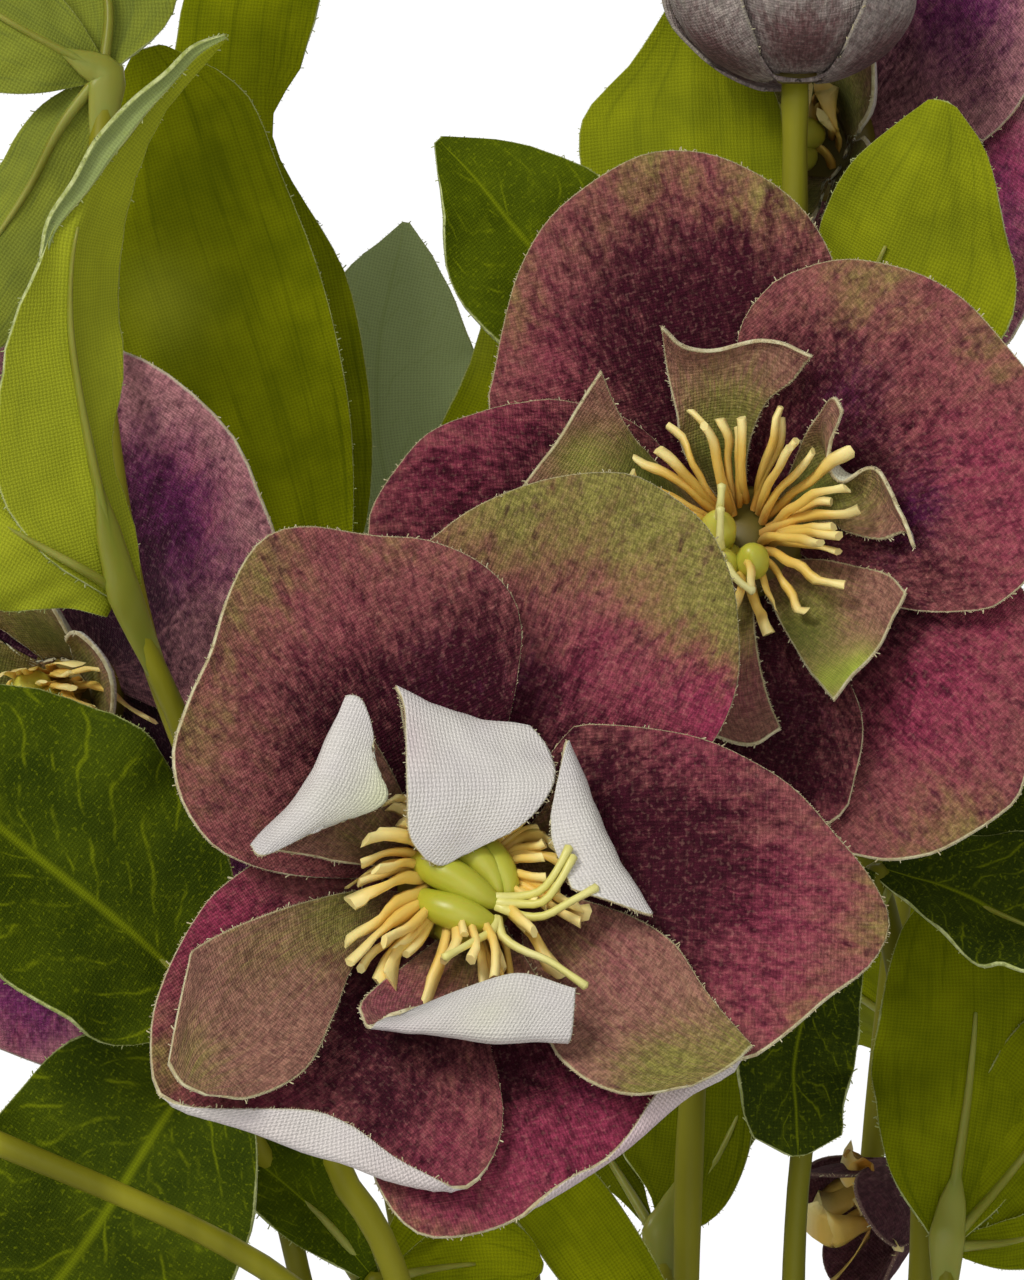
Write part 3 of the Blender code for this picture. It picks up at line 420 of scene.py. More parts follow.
# Stamens of each bloom, and the radii of the heart below them at its heights, in mm
STAMENS = {
    "front_bloom": dict(Count=60, Reach=0.0084, Rise=0.0066, Droop=(-0.0006, -0.0022, 0.0), Seed=11),
    "upper_bloom": dict(Count=38, Reach=0.009, Rise=0.0074, Droop=(0.0002, 0.0004, 0.0), Seed=23),
    "left_bloom": dict(Count=42, Reach=0.01, Rise=0.008, Droop=(0.004, -0.005, 0.0), Seed=31),
    "back_bloom": dict(Count=10, Reach=0.002, Rise=0.005, Droop=(0.0, 0.0, 0.0), Seed=43),
    "open_bud": dict(Count=18, Reach=0.003, Rise=0.012, Droop=(0.0, 0.0, 0.0), Seed=57),
    "side_bud": dict(Count=10, Reach=0.0015, Rise=0.0025, Droop=(0.0, 0.0, 0.0), Seed=61),
}
HEART = [(0.3, 4.6), (1.3, 6.2), (2.4, 5.4), (3.4, 3.8), (4.2, 1.8)]

# Carpels as paths in mm in the bloom's axes, with radii for the pods, and then their styles. Those of the
# small blooms are drawn as mm from the middle and height
FRONT_PODS = [
    (
        [(-5.7, 1.1, 7.5), (-4.3, -0.1, 9), (-2.1, -1.7, 10), (0.3, -3.5, 10.4), (2.1, -4.5, 10.2)],
        [0.9, 1.7, 1.8, 1.4, 0.6],
    ),
    (
        [(-5.2, -2.7, 7.5), (-4, -4.2, 9), (-2, -5.3, 10), (0.1, -6.1, 10.2), (1.8, -6.4, 10)],
        [0.9, 1.6, 1.8, 1.4, 0.6],
    ),
    (
        [(0.7, 3.3, 6.5), (1.5, 1.7, 8.2), (2.6, -0.4, 9), (3.3, -2.3, 9.3), (3.2, -3.9, 9.6)],
        [0.9, 1.6, 1.7, 1.3, 0.6],
    ),
    (
        [(-2.4, 2.4, 6.5), (-1.2, 1.6, 8.4), (0.4, 0.4, 9.4), (1.8, -1.4, 9.6), (2.4, -3.4, 9.8)],
        [0.9, 1.5, 1.6, 1.2, 0.5],
    ),
    ([(-3.1, -5.9, 6), (-1.9, -6.5, 7.5), (-0.1, -6.6, 8.6), (1.5, -6.3, 9.4)], [0.9, 1.5, 1.5, 0.6]),
]
FRONT_STYLES = [
    [(1.6, -3.9, 10.6), (4.2, -3.9, 11), (6.1, -3.6, 12), (7.5, -2, 13), (8.9, 0.4, 13.6)],
    [(1.8, -4.4, 10.6), (4.3, -4.7, 11), (6.2, -4.8, 12), (7.8, -3, 13), (9.3, -0.5, 13.4)],
    [(1.8, -4.7, 10.4), (4.2, -5.9, 11), (6.3, -6.2, 12), (8.7, -5.1, 13), (11.4, -3.8, 13.6)],
    [(1.8, -5.9, 10.2), (1.1, -7.4, 11), (-1.2, -8.9, 12.2), (-4.3, -10.7, 13)],
    [(1.9, -5.9, 10.2), (2.1, -8, 11), (3.8, -9.7, 12), (6.3, -11.2, 13), (9.5, -14, 14)],
]
UPPER_PODS = [
    ([(-1.8, -0.6, 5), (-2.1, -1.5, 9), (-2.2, -0.8, 10.6), (-2.1, -0.2, 12.2)], [0.9, 1.7, 1.8, 0.7]),
    ([(0.8, -2.6, 5), (1.3, -4.7, 9), (1.4, -4.3, 10.8), (1.2, -4, 12.3)], [0.9, 1.6, 1.7, 0.7]),
    ([(-1, -2.2, 5), (-1.5, -5, 9), (-1.5, -4.6, 10.6), (-1.5, -4, 11.6)], [0.9, 1.4, 1.5, 0.7]),
]
UPPER_STYLES = [
    [(-2, -0.6, 11.8), (-1.9, -0.2, 13.4), (-1.7, 0.6, 14.6), (-1.6, 2.2, 15)],
    [(-1.8, -3.6, 12), (-1.8, -2.8, 13.4), (-1.7, -1.2, 14.4), (-1.7, -0.2, 14.8)],
    [(-1.1, -5.7, 12.4), (-0.5, -6.8, 13.4), (0.6, -8.1, 14.2), (1.8, -9, 14.6)],
    [(-1.6, -4.5, 12), (-2.2, -5.5, 13), (-2.5, -6.7, 13.6)],
]
SMALL_POD = [(1.2, 6.2), (2.2, 8.2), (2.3, 10.4), (1.6, 12.2)]
SMALL_STYLE = [(1.6, 12), (1.7, 14), (3.4, 15.6)]

# Leaves in mm: the way the printed side looks, where the petiole starts, the points it passes, and the lobes.
# A petiole starts in the fill at a base, or on the stem or petiole named as its host. A lobe's line holds
# points from hub to tip, each with the cloth to its left and right, or one width where both are the same. A
# flipped lobe looks the other way
LEAVES = {
    "leaf_front_left": dict(
        face=(-0.55, 0.8, 0.15), base=(-24, -10), washes=[("light", 0, 26, 60, 0.6)],
        via=[(-32, -16, 185), (-43, -22, 235), (-49, -29, 268), (-53, -35, 285)],
        lobes=[
            dict(line=[(-59.5, -42, 299.8, 2.6, 1.4), (-60.9, -43, 305.5, 3.9, 7),
                (-62.4, -45, 313, 3.2, 9.5), (-63.7, -47, 320.4, 6.1, 7.9), (-64.4, -49, 327.8, 7.1, 5.5),
                (-63.7, -50, 335.3, 6.6, 2.4), (-61.2, -50, 341.7, 4.7, 0.8), (-56.4, -50, 347.9, 2.2, 0.7),
                (-52, -50, 352.4, 1.4, 0.9), (-48.4, -50, 354.9, 0.1)]),
            dict(line=[(-59.6, -41, 299.6, 1, 2.6), (-62.8, -44, 301.8, 4, 4.2),
                (-67.6, -46, 304.5, 7.1, 7.3), (-73.6, -46, 308, 6.7, 8), (-78.6, -46, 311.5, 5.1, 6.1),
                (-82.2, -45, 313.5, 2)]),
            dict(flip=True, rib=0, washes=[("blue", 0, 10, 40, 0.55)], line=[(-66.6, -51.5, 333, 0.3),
                (-65.4, -51.5, 336.5, 0.7), (-63, -51.5, 340, 1), (-60.4, -51.5, 343.9, 1.3),
                (-57.2, -51.5, 347.6, 1.1), (-54.2, -51.5, 350.6, 0.8), (-51.6, -51.5, 353.4, 0.6),
                (-48.5, -51, 355, 0.2)]),
        ],
    ),
    "leaf_top_left": dict(
        face=(0.1, 0.98, -0.15), host="leaf_front_left", joint_z=280, washes=[("blue", 0, 20, 60, 0.25)],
        via=[(-57.5, -30, 296), (-61, -29, 315), (-62.5, -27, 336)],
        lobes=[
            dict(line=[(-61.7, -24, 352.9, 0.8), (-68.3, -26, 356.3, 5.1, 6.2),
                (-76.4, -27, 360.9, 7.2, 9.2), (-83.4, -29, 363.8, 5.1, 6.2), (-87.4, -30, 364.7, 1)]),
            dict(line=[(-61.8, -23, 353.3, 0.8), (-61.3, -22, 359.7, 6.2, 6.4),
                (-62.9, -20, 367.1, 8.8, 9.8), (-65.7, -16, 378.8, 9.3), (-67.9, -14, 389.3, 4.7, 4.2),
                (-68.4, -14, 393.5, 0.6)]),
            dict(line=[(-62.2, -24, 352.4, 1), (-66.1, -24, 347.3, 3.5, 3.1), (-69.4, -24, 341.1, 4.4, 5.2),
                (-73.5, -24, 335, 6.2, 7.3), (-78.5, -25, 327.8, 5.2, 6.2), (-81.5, -26, 322.6, 1)]),
        ],
    ),
    "leaf_back_left": dict(
        face=(0.1, 0.98, -0.1), host="left_bloom", joint_z=262,
        # Its narrow light wash, 6 mm across and 40 mm along each lobe, is a painted highlight streak.
        washes=[("dark", 0, 30, 80, 0.12), ("light", 6, 40, 5, 0.5)], via=[(-39, 12, 276)],
        lobes=[
            dict(rib=0, line=[(-40.2, 10, 295, 1.5), (-42.5, 8, 305.6, 5.8, 7.5),
                (-46.4, 4, 318.3, 9.3, 12.7), (-50.6, 2, 330.9, 10.6, 13.7), (-54, 2, 341.4, 9.7, 11.6),
                (-56.6, 2, 349.9, 9.1, 7.4), (-58.2, 2, 356, 4.2, 3.2), (-58.6, 2, 357.5, 1.3, 1.1)]),
            dict(line=[(-40, 12, 295, 1.3), (-40.6, 16, 312.1, 5.4, 6.5), (-43.8, 18, 331.5, 6.5, 9.7),
                (-46.9, 18, 348.7, 1.1, 10.8), (-46.9, 18, 357.3, 4.3, 9.7), (-46, 19, 366, 5.6, 8.7),
                (-43.9, 19, 375.6, 3.2, 4.3), (-42.8, 19, 379.9, 0.5)]),
            dict(line=[(-39.4, 12, 295, 1.1), (-32, 18, 303.6, 3.3), (-26.1, 22, 313.3, 3.9, 3.7),
                (-21.3, 24, 323.1, 3.9), (-20, 24, 331.8, 2.4), (-20, 24, 335.9, 0.4)]),
        ],
    ),
    "leaf_centre_back": dict(
        # Its full blue wash is partly painted light: bright enough that this shaded leaf looks lit.
        face=(0.1, -0.98, 0.2), base=(-10, 16), washes=[("blue", 0, 20, 70, 1), ("light", 0, 20, 70, 0.35)],
        via=[(-15, 22, 190), (-21, 27, 250)],
        lobes=[
            dict(line=[(-28.9, 32, 293.9, 1.5), (-32.2, 33, 305.9, 6.1, 6.6), (-34.6, 34, 316.9, 7.3, 10.1),
                (-34.7, 35, 326.7, 7, 10.8), (-33.3, 35, 333.8, 5.3, 7.2), (-32, 35, 339, 1.5, 2.4),
                (-31.7, 35, 340.7, 0.3, 0.4)]),
            dict(line=[(-29.5, 34, 295, 1.1), (-35.6, 40, 303.8, 4.5), (-42.3, 44, 311.6, 5.6),
                (-47.4, 47, 317.2, 2.9), (-49, 47, 318.8, 0.5)]),
            dict(line=[(-27.9, 34, 295, 1.1), (-19.1, 38, 303.8, 4.4), (-11.4, 42, 313.7, 5.1),
                (-5.9, 44, 322.1, 2.9), (-4.8, 44, 324.3, 0.4)]),
        ],
    ),
    "leaf_upper_back": dict(
        face=(0, -0.95, 0.3), host="open_bud", joint_z=303, washes=[("light", 0, 30, 30, 0.2)],
        via=[(5, 13, 308)],
        lobes=[
            dict(line=[(4.4, 13, 316.4, 1.3), (-5.3, 12, 324.9, 6.6), (-13.3, 10, 331.7, 9.8, 9.6),
                (-19.1, 9, 338.1, 9.6, 10), (-23.4, 9, 343.4, 5.6, 6.5), (-26.8, 9, 347.1, 2),
                (-27.9, 9, 348.2, 0.5)]),
            dict(flip=True, line=[(3.9, 17, 316.5, 1.3), (1.9, 24, 331.8, 7.1, 6.5),
                (0.4, 28, 343.9, 9.3, 11.7), (-0.1, 30, 352.7, 9.4, 12.2), (-0.2, 31, 358.2, 7.6, 6.5),
                (0.5, 31, 364.7, 7.2, 2.8), (2.1, 31, 369.1, 2.2, 1.1)]),
            dict(flip=True, line=[(7.5, 12, 316.3, 1.1), (13.8, 8, 325.8, 9.7, 5.4),
                (18.4, 4, 334.1, 15.2, 7.5), (21.5, 2, 341.4, 11.3, 7.2), (23.9, 1, 347.2, 7, 4.5),
                (25.1, 1, 351.1, 2.5, 1.9), (25.3, 1, 351.9, 0.6)]),
        ],
    ),
    "leaf_right": dict(
        face=(0.2, -0.88, 0.42), base=(9, -10), washes=[("dark", 0, 20, 80, 0.75)],
        via=[(9.3, -9, 180), (9.5, -8, 232), (12.5, -7, 252)],
        lobes=[
            dict(line=[(18.4, -9, 271.2, 0.9, 1.2), (24.5, -11, 269.5, 5.9, 4.7),
                (31.6, -14, 266.5, 9.3, 7.2), (38.6, -18, 263.5, 6.5, 5.3), (42.6, -20, 261.9, 0.9)]),
            dict(line=[(17.1, -10, 271.1, 0.8, 1), (11.4, -14, 259.2, 4.9, 6.2),
                (9.2, -17, 251.6, 6.2, 6.5), (9.3, -19, 246.6, 4.6, 5.9), (9.3, -20, 243.5, 4.2),
                (9.4, -20, 241.9, 0.6)]),
            dict(line=[(18.9, -8, 272, 0.9), (26.9, -6, 276.2, 5, 4.4), (35.3, -4, 280.3, 5.5, 5.1),
                (43.9, -2, 284, 4, 3.8), (49.1, -2, 286.1, 0.6)]),
        ],
    ),
    "leaf_right_low": dict(
        face=(-0.05, 0.98, 0.1), base=(22, -7), washes=[("dark", 0, 20, 80, 0.2)], via=[(25, -4, 170)],
        lobes=[
            dict(line=[(25.6, 0, 231.8, 1.5), (26.7, 2, 238, 6.3, 7), (28.2, 4, 247.4, 10.2, 9.8),
                (29.1, 6, 256.8, 10.6, 9.8), (28.6, 7, 265.3, 7.4, 7), (27.8, 8, 271.1, 1.1)]),
            dict(line=[(26.2, 1, 231.8, 1.3), (32.7, 4, 238.9, 6.4), (40.2, 6, 248.4, 8.5),
                (45.7, 8, 254.6, 4.9), (48.3, 8, 257.3, 0.6)]),
            dict(line=[(26.7, 1, 231.2, 1.1), (32.6, 3, 231.6, 3.2, 2.1), (39.1, 5, 233.1, 3.8, 2.8),
                (44.4, 6, 234.6, 0.6)]),
        ],
    ),
    "leaf_centre_low": dict(
        face=(0, 0.98, 0.15), base=(-6, 8), washes=[("dark", 0, 20, 80, 0.6)],
        via=[(-3, 9, 160), (-2, 11, 205)],
        lobes=[
            dict(line=[(-4.5, 12, 231.6, 0.4), (-2.9, 13, 234.6, 4.3, 2.4), (-1.6, 15, 238.8, 6.2, 6.6),
                (-0.9, 16, 244.6, 6.9, 7.5), (-0.9, 17, 252.1, 6.4, 7.5), (-2, 18, 267.1, 1.1)]),
            dict(line=[(-5, 14, 232.1, 0.4), (-7.4, 16, 236.1, 1.5), (-11.6, 19, 242.3, 3.9, 4.3),
                (-17, 22, 247.5, 4.3), (-22.4, 23, 250.7, 0.7)]),
            dict(line=[(-2.5, 15, 233.4, 0.5), (2.3, 17, 240.3, 2.6, 2.2), (5, 18, 246.7, 2.8),
                (5.6, 19, 253.1, 0.5)]),
        ],
    ),
    "leaf_left": dict(
        face=(0.12, -0.9, 0.42), host="leaf_front_left", joint_z=240, washes=[("dark", 0, 20, 80, 0.35)],
        via=[(-47, -31, 246)],
        lobes=[
            dict(line=[(-47.9, -36, 257.6, 1.3), (-54.5, -37, 262.2, 10.7), (-62, -39, 268.3, 13.1, 15.5),
                (-70.4, -41, 275.4, 13.3, 15.5), (-78.4, -42, 281.5, 10, 11.1), (-84.9, -43, 285.5, 1.3)]),
            dict(line=[(-48.3, -35, 256.8, 1), (-54.6, -34, 247.4, 11.3, 12.3),
                (-61.7, -34, 236.2, 15.4, 14.3), (-69.7, -36, 225.3, 14.3, 13.3),
                (-77.7, -38, 215.3, 0.8)]),
        ],
    ),
    "leaf_front_low": dict(
        face=(0, -0.99, 0.1), host="front_bloom", joint_z=185, via=[(-23.5, -17.5, 202), (-30, -19.5, 218)],
        lobes=[
            dict(line=[(-34.3, -24, 229.8, 0.8), (-39.7, -25, 236.1, 3.9, 4.1),
                (-45.7, -27, 241.4, 3.9, 5.1), (-52.3, -30, 246.2, 3.1, 5.1), (-57.8, -31, 249.3, 2, 3.1),
                (-62.8, -32, 251.5, 0.4)]),
            dict(line=[(-34.3, -24, 229.4, 1), (-38.6, -28, 222.6, 5.1), (-45.5, -34, 214, 6.1),
                (-52.5, -37, 206.2, 3), (-55.5, -38, 202.2, 0.6)]),
            dict(flip=True, line=[(-34, -22, 229, 1), (-29, -19, 230, 5), (-24, -17, 230.5, 6),
                (-19.5, -16, 230.5, 4), (-17, -15, 230, 0.5)]),
            dict(flip=True, rib=0, line=[(-34, -21, 230, 0.6), (-27, -17, 238, 3), (-18, -13, 239, 4.5),
                (-11, -11, 231, 4.8), (-5, -9, 221, 3.5), (-2, -8, 215, 0.5)]),
        ],
    ),
    "leaf_far_left": dict(
        face=(-0.25, -0.35, 0.9), base=(-19, -20),
        via=[(-27, -32, 185), (-31, -43, 216), (-44, -48, 232), (-72, -52, 245.5)],
        lobes=[
            dict(line=[(-93, -51, 253, 2), (-100, -55, 257, 9), (-109, -60, 259, 12), (-120, -66, 260, 6),
                (-124, -68, 260, 1, 0.5)]),
            dict(line=[(-93, -49, 254, 2), (-101, -46, 260, 9), (-111, -41, 266, 12), (-122, -33, 271, 6),
                (-126, -30, 272, 1, 0.5)]),
            dict(line=[(-92, -49, 254, 1), (-94, -41, 260, 8), (-96, -31, 266, 11), (-98, -19, 271, 6),
                (-98, -14, 272, 1, 0.5)]),
        ],
    ),
    "leaf_rear_left": dict(
        face=(-0.25, 0.75, 0.6), base=(-17, 18), via=[(-24, 28, 180), (-34, 42, 240)],
        lobes=[
            dict(line=[(-41, 50, 276, 2), (-50, 55, 283, 10), (-62, 58, 291, 12), (-77, 60, 299, 7),
                (-82, 60, 302, 1, 0.5)]),
            dict(line=[(-40, 51, 276, 2), (-44, 61, 285, 10), (-47, 72, 297, 13), (-51, 81, 312, 7),
                (-52, 84, 318, 1, 0.5)]),
            dict(line=[(-39, 51, 276, 2), (-35, 60, 282, 9), (-27, 70, 289, 12), (-16, 79, 296, 6),
                (-12, 82, 298, 1, 0.5)]),
        ],
    ),
    "leaf_rear_right": dict(
        face=(0.2, 0.78, 0.58), base=(19, 18), via=[(22, 30, 170), (26, 48, 220)],
        lobes=[
            dict(line=[(31, 58, 249, 2), (40, 62, 257, 10), (51, 64, 266, 12), (65, 65, 275, 7),
                (70, 64, 278, 1, 0.5)]),
            dict(line=[(30, 59, 249, 2), (32, 70, 256, 10), (36, 82, 266, 13), (43, 94, 276, 7),
                (46, 98, 280, 1, 0.5)]),
            dict(line=[(29, 59, 249, 2), (23, 68, 253, 9), (14, 78, 258, 12), (3, 87, 261, 6),
                (-2, 90, 262, 1, 0.5)]),
        ],
    ),
    "leaf_right_side": dict(
        face=(0.45, 0.15, 0.88), base=(26, 0), via=[(34, 1, 170), (46, 3, 210)],
        lobes=[
            dict(line=[(61, 4, 230, 2), (71, 1, 237, 10), (83, -3, 243, 12), (97, -9, 247, 7),
                (102, -12, 248, 1, 0.5)]),
            dict(line=[(61, 5, 231, 2), (68, 10, 240, 10), (78, 19, 250, 12), (88, 30, 259, 7),
                (92, 34, 262, 1, 0.5)]),
            dict(line=[(60, 3, 231, 1), (64, -7, 234, 9), (67, -19, 237, 11), (69, -33, 238, 6),
                (70, -38, 238, 1, 0.5)]),
        ],
    ),
}


# Numbers on curves and grids


def unit(vectors):
    """The same directions with a length of one."""
    return vectors / np.maximum(np.linalg.norm(vectors, axis=-1, keepdims=True), 1e-12)


def ease(low, high, value):
    """Rises smoothly from 0 at low to 1 at high."""
    share = np.clip((value - low) / (high - low), 0, 1)
    return share * share * (3 - 2 * share)


def through(points, places):
    """A smooth curve through the points, read at places that count the points from 0."""
    points = np.asarray(points, float)
    ends = np.concatenate([[2 * points[0] - points[1]], points, [2 * points[-1] - points[-2]]])
    span = np.clip(np.floor(places).astype(int), 0, len(points) - 2)
    t = (places - span).reshape(-1, *[1] * (points.ndim - 1))
    a, b, c, d = ends[span], ends[span + 1], ends[span + 2], ends[span + 3]
    return (2 * b + (c - a) * t + (2 * a - 5 * b + 4 * c - d) * t**2 + (3 * b - a - 3 * c + d) * t**3) / 2


def lengths_along(points):
    """How far along a line each of its points lies."""
    return np.concatenate([[0], np.cumsum(np.linalg.norm(np.diff(points, axis=0), axis=-1))])


def even_places(points, count, hem=0.0):
    """Places along the smooth curve that are the same distance apart, but for a narrow hem at its end."""
    dense = np.linspace(0, len(points) - 1, 12 * len(points))
    length = lengths_along(through(points, dense))
    stops = np.linspace(0, length[-1], count)
    if hem:
        stops[-2] = length[-1] - hem
    return np.interp(stops, length, dense)


def evenly(points, count):
    """Evenly spaced points on a smooth curve through the given ones."""
    return through(points, even_places(points, count))


def grid_normals(grid):
    """The direction that each point of a grid faces."""
    return unit(np.cross(np.gradient(grid, axis=0), np.gradient(grid, axis=1)))


def crumple(flat, *layers):
    """The small unevenness that pressed cloth keeps, in layers of a size, a height and a seed."""
    relief = np.zeros(flat.shape[:2])
    for size, height, seed in layers:
        heights = [noise.noise((x / size + seed, y / size + 3 * seed, 0)) for x, y in flat.reshape(-1, 2)]
        relief += np.array(heights).reshape(relief.shape) * height
    return relief


def bloom_axes(spec):
    """The bloom's own axes as a matrix: X to its right, Y to its top and Z the way it faces."""
    turn, tilt = math.radians(spec["turn"]), math.radians(spec["tilt"])
    out = Vector((math.sin(turn) * math.cos(tilt), -math.cos(turn) * math.cos(tilt), math.sin(tilt)))
    top = UP if abs(spec["tilt"]) < 60 else BACK
    top = (top - out * top.dot(out)).normalized()
    axes = Matrix((top.cross(out), top, out)).transposed().to_4x4()
    axes.translation = Vector(spec["centre"]) * MM
    return axes


def in_place(axes, points_mm):
    """Points in mm in a bloom's axes as metres in the plant's."""
    turned = np.array(axes.to_3x3())
    return np.asarray(points_mm, float) * MM @ turned.T + np.array(axes.translation)


# Nodes


def add_node(tree, kind, values=None, **settings):
    """Places a node with its settings, fills or links its inputs, and gives its outputs."""
    made = tree.nodes.new(kind)
    for name, value in settings.items():
        setattr(made, name, value)
    for name, value in (values or {}).items():
        socket = made.inputs[name]
        if isinstance(value, bpy.types.NodeSocket):
            tree.links.new(value, socket)
        else:
            socket.default_value = value
    return made.outputs


def maths(tree, operation, *values, clamp=False):
    """The output of a Math node."""
    values = dict(enumerate(values))
    return add_node(tree, "ShaderNodeMath", values, operation=operation, use_clamp=clamp)[0]


def plus(tree, first, second):
    """The sum of two values."""
    return maths(tree, "ADD", first, second)


def minus(tree, first, second):
    """The first value less the second."""
    return maths(tree, "SUBTRACT", first, second)


def times(tree, first, second):
    """The product of two values."""
    return maths(tree, "MULTIPLY", first, second)


def times_plus(tree, value, factor, added):
    """A value multiplied by a factor, with another added."""
    return maths(tree, "MULTIPLY_ADD", value, factor, added)


def vector_maths(tree, operation, first, second):
    """The output of a Vector Math node; the second value is a plain number where a vector is scaled."""
    place = "Scale" if operation == "SCALE" else 1
    return add_node(tree, "ShaderNodeVectorMath", {0: first, place: second}, operation=operation)[0]


def scaled(tree, vector, factor):
    """A vector or colour multiplied by one number."""
    return vector_maths(tree, "SCALE", vector, factor)


def stretched(tree, vector, factors):
    """A vector multiplied along each of its axes."""
    return vector_maths(tree, "MULTIPLY", vector, factors)


def shifted(tree, vector, shift):
    """A vector with another added."""
    return vector_maths(tree, "ADD", vector, shift)


def combined(tree, x, y, z):
    """A vector made of three values."""
    return add_node(tree, "ShaderNodeCombineXYZ", {0: x, 1: y, 2: z})[0]


def colour_parts(tree, colour):
    """The three parts of a colour."""
    return add_node(tree, "ShaderNodeSeparateColor", {0: colour})


def blend(tree, factor, first, second):
    """The output of a colour Mix node."""
    return add_node(tree, "ShaderNodeMix", {0: factor, 6: first, 7: second}, data_type="RGBA")[2]


def spread(tree, value, low, high, to_low=0, to_high=1):
    """A value moved smoothly from one range to another."""
    values = {"Value": value, "From Min": low, "From Max": high, "To Min": to_low, "To Max": to_high}
    return add_node(tree, "ShaderNodeMapRange", values, interpolation_type="SMOOTHSTEP")[0]


def noise_texture(tree, vector, scale, detail=2, roughness=0.5, distortion=0):
    """The outputs of a Noise Texture."""
    values = {"Vector": vector, "Scale": scale, "Detail": detail}
    values.update({"Roughness": roughness, "Distortion": distortion})
    return add_node(tree, "ShaderNodeTexNoise", values, normalize=True)


def clouds(*noise_values):
    """The plain output of a Noise Texture."""
    return noise_texture(*noise_values)[0]


def drift(tree, *noise_values):
    """The three outputs of a Noise Texture as a vector around zero."""
    colour = noise_texture(tree, *noise_values)["Color"]
    return vector_maths(tree, "SUBTRACT", colour, (0.5, 0.5, 0.5))


def three_clouds(tree, *noise_values):
    """Three independent outputs of a Noise Texture, each between -1 and 1 around 0."""
    parts = colour_parts(tree, noise_texture(tree, *noise_values)["Color"])
    return [times_plus(tree, parts[k], 2, -1) for k in range(3)]


def node_group(name, inputs, outputs, kind="ShaderNodeTree"):
    """An empty group with named inputs, each with its type and value, and named outputs."""
    tree = bpy.data.node_groups.new(name, kind)
    for label, (socket_type, value) in inputs.items():
        socket = tree.interface.new_socket(label, in_out="INPUT", socket_type=socket_type)
        if value is not None:
            socket.default_value = value
    for label, socket_type in outputs.items():
        tree.interface.new_socket(label, in_out="OUTPUT", socket_type=socket_type)
    return tree, tree.nodes.new("NodeGroupInput").outputs, tree.nodes.new("NodeGroupOutput").inputs


def use_group(tree, group, values):
    """The outputs of a group placed in a material."""
    return add_node(tree, "ShaderNodeGroup", values, node_tree=group)


def ink(red, green, blue):
    """A colour from its everyday 0 to 255 values."""
    parts = [value / 255 for value in (red, green, blue)]
    linear = [p / 12.92 if p <= 0.04045 else ((p + 0.055) / 1.055) ** 2.4 for p in parts]
    return (*linear, 1)


def uv(tree, name):
    """A piece's own UV map."""
    return add_node(tree, "ShaderNodeUVMap", uv_map=name)[0]


def attribute(tree, name):
    """The outputs of a piece's own attribute."""
    return add_node(tree, "ShaderNodeAttribute", attribute_name=name)


def own_place(tree):
    """A point's place on the plant."""
    return add_node(tree, "ShaderNodeTexCoord")["Object"]


FLOAT, VECTOR, COLOUR = "NodeSocketFloat", "NodeSocketVector", "NodeSocketColor"
INTEGER, GEOMETRY, MATERIAL = "NodeSocketInt", "NodeSocketGeometry", "NodeSocketMaterial"
PRINT_INKS = ("Ground", "Olive", "Crimson", "Violet", "Plum", "Speck")


def make_weave_group():
    """Plain weave: threads that pass over and under each other."""
    inputs = {"Cloth": (VECTOR, None), "Pitch": (FLOAT, 0.00037), "Unevenness": (FLOAT, 0.35)}
    tree, given, result = node_group("Plain weave", inputs, {"Height": FLOAT, "Thread tone": FLOAT})
    cloth, pitch = given["Cloth"], given["Pitch"]
    shift = scaled(tree, drift(tree, cloth, 420, 1), times(tree, pitch, given["Unevenness"]))
    turns = scaled(tree, shifted(tree, cloth, shift), maths(tree, "DIVIDE", math.pi, pitch))
    split = add_node(tree, "ShaderNodeSeparateXYZ", {0: turns})
    warp, weft = [maths(tree, "COSINE", split[k]) for k in range(2)]
    over = times(tree, warp, weft)
    threads = [
        times(tree, maths(tree, "ABSOLUTE", thread), times_plus(tree, over, lift, 0.6))
        for thread, lift in ((warp, 0.4), (weft, -0.4))
    ]
    tree.links.new(maths(tree, "MAXIMUM", *threads), result["Height"])
    slubs = [
        times(tree, clouds(tree, stretched(tree, cloth, way), 1, 2), 0.5)
        for way in ((300, 2600, 1), (2600, 300, 1))
    ]
    tree.links.new(plus(tree, *slubs), result["Thread tone"])
    return tree


